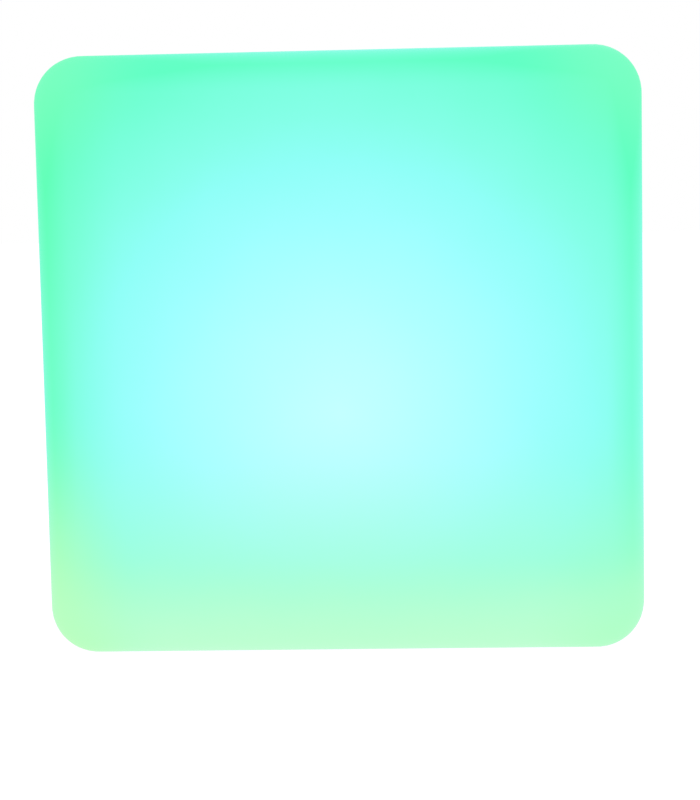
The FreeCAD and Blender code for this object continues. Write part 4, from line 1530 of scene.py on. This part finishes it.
def lamp_zone(middle):
    """1 is the glowing gel and 2 the tinned feet."""
    if from_axis(middle) < 1.9 and middle.z > lamp_top - 0.48:
        return 1
    beside_foot = abs(middle.x % 1.6 - 0.8) <= 0.35
    return 2 if abs(middle.y) > 1.9 and middle.z < lamp_low + 0.7 and not beside_foot else 0


lamp = set_zones(combined("lamp_one", *lamp_forms), lamp_zone)
lamps = repeated("lamps", lamp, spots_of("led_packages"), "led_case")
placed(lamps, "led_case", "led_packages")

# %% The small lamp over the indicator's rod
tiny_low, tiny_high = levels(box_of("indicator_led"))
window_top, tiny_body = tiny_low + 0.5, 0.95
base = split_across(block("base", (3.0, 1.5), window_top, tiny_high), tiny_body)
window = block("window", (1.6, 1.25), tiny_low, window_top + 0.1, 1.12)


def tiny_zone(middle):
    """1 is the window and 2 the tinned ends."""
    return 1 if middle.z < window_top - 0.01 else 2 * (abs(middle.x) > tiny_body)


tiny = set_zones(combined("indicator_lamp", base, window), tiny_zone)
tiny.data.transform(Matrix.Translation(Vector((*middle_of("indicator_led"), 0)) * mm))
placed(tiny, "led_case", "indicator_led")

# %% Dome
foot, dome_rise, thick, flange_radius = 48.0, 30.0, 2.0, 60.4
flange_top = lid.z + 3.0


def dome_arc(inset):
    """The dome's wall from its foot towards its top, set in by an inset."""
    turns = [math.radians(90 * step / 24) for step in range(24)]
    reach, rise = foot - inset, dome_rise - inset
    return [(reach * math.cos(turn), flange_top + rise * math.sin(turn)) for turn in turns]


outside = dome_arc(0)
flange = rounded([
    (foot - thick, lid.z), (flange_radius, lid.z, 0.3), (flange_radius, flange_top, 0.8),
    (foot + 0.6, flange_top, 0.4), outside[1],
])
dome_outline = [(0, flange_top + dome_rise - thick), *reversed(dome_arc(thick)), *flange[:-1]]
dome_outline += [*outside[1:], (0, flange_top + dome_rise)]
hole = turned("hole", rod(1.8, flange_top - 4, flange_top + 1), 32)
holes = repeated("dome_holes", hole, spots_of("dome_screws"), "opal_plastic")
dome = carved(turned("opal_dome", dome_outline, 128), holes, "opal_plastic")
placed(dome, "opal_plastic", "dome_lens")

# %% [markdown]
# ## The studio
# The photograph has a pure white ground. White here is the colour that the floor and the world show
# to the camera; the light that falls on the object stays at a plain level. The floor keeps the soft
# shadow that grounds the cube, and it can be seen through from below, so that the underside can be
# looked at.

# %% World
world = bpy.data.worlds.new("white_surround")
world.use_nodes = True
scene.world = world
sky = Graph(world.node_tree)
white = sky.node("ShaderNodeBackground", {}, {"Color": (1, 1, 1), "Strength": 1.0})
plain = sky.node("ShaderNodeBackground", {}, {"Color": (1, 1, 1), "Strength": 0.75})
seen = sky.seen_by("Camera", "Glossy", "Transmission")
surround = sky.node("ShaderNodeMixShader", {}, {0: seen, 1: plain, 2: white})
sky.node("ShaderNodeOutputWorld", {}, {"Surface": surround})

# %% Floor
floor_reach = 30 * side


def floor_finish():
    work = Finish("white_floor")
    shown = work.seen_by("Camera", "Glossy") * 0.80
    own = work.node("ShaderNodeEmission", {}, {"Color": (1, 1, 1), "Strength": shown})
    lit = work.node("ShaderNodeBsdfDiffuse", {}, {"Color": (0.5, 0.5, 0.5)})
    both = work.node("ShaderNodeAddShader", {}, {0: own, 1: lit})
    clear = work.node("ShaderNodeBsdfTransparent")
    below = work.node("ShaderNodeNewGeometry", out="Backfacing")
    surface = work.node("ShaderNodeMixShader", {}, {0: below, 1: both, 2: clear})
    work.node("ShaderNodeOutputMaterial", {}, {"Surface": surface})
    return work.material


floor_mesh = bpy.data.meshes.new("floor")
corners = [(-1, -1), (1, -1), (1, 1), (-1, 1)]
floor_mesh.from_pydata([(x * floor_reach, y * floor_reach, 0) for x, y in corners], [], [(0, 1, 2, 3)])
floor_mesh.materials.append(floor_finish())
floor = added("floor", floor_mesh)
floor.visible_diffuse = False
floor.visible_shadow = False

# %% Lamps of the studio
for name, place, size, power in (
    ("key_lamp", (-1.6, -2.2, 2.4), 1.8, 12),
    ("fill_lamp", (2.4, -1.2, 1.4), 1.6, 5),
    ("back_lamp", (0.4, 2.6, 2.0), 1.6, 7),
):
    light = bpy.data.lights.new(name, "AREA")
    light.size = size
    light.energy = power
    stand = added(name, light)
    stand.location = place
    aim = Vector((0, 0, half)) - Vector(place)
    stand.rotation_euler = aim.to_track_quat("-Z", "Y").to_euler()
scene.view_settings.view_transform = "Standard"

# %% [markdown]
# ## The camera
# It stands a little above and to the right of the cube and looks at one face nearly square on. Its
# place, aim, roll and lens were found by matching the silhouette of a rounded cube to the edges in
# the photograph.

# %% Camera
camera_gap = 1.3
camera_place = Vector((0.0654, -half - camera_gap, 0.3073))
camera_aim = Vector((0.0066, -half, 0.1722))
camera_roll = math.radians(-1.156)
lens_mm = 90.22

camera_data = bpy.data.cameras.new("camera")
camera_data.lens = lens_mm
camera_data.sensor_width = 36
level_turn = (camera_aim - camera_place).to_track_quat("-Z", "Y").to_matrix().to_4x4()
camera = added("camera", camera_data)
camera.matrix_world = Matrix.Translation(camera_place) @ level_turn @ Matrix.Rotation(camera_roll, 4, "Z")
scene.camera = camera
print("camera at", [round(part, 4) for part in camera_place], "lens", lens_mm, "mm")
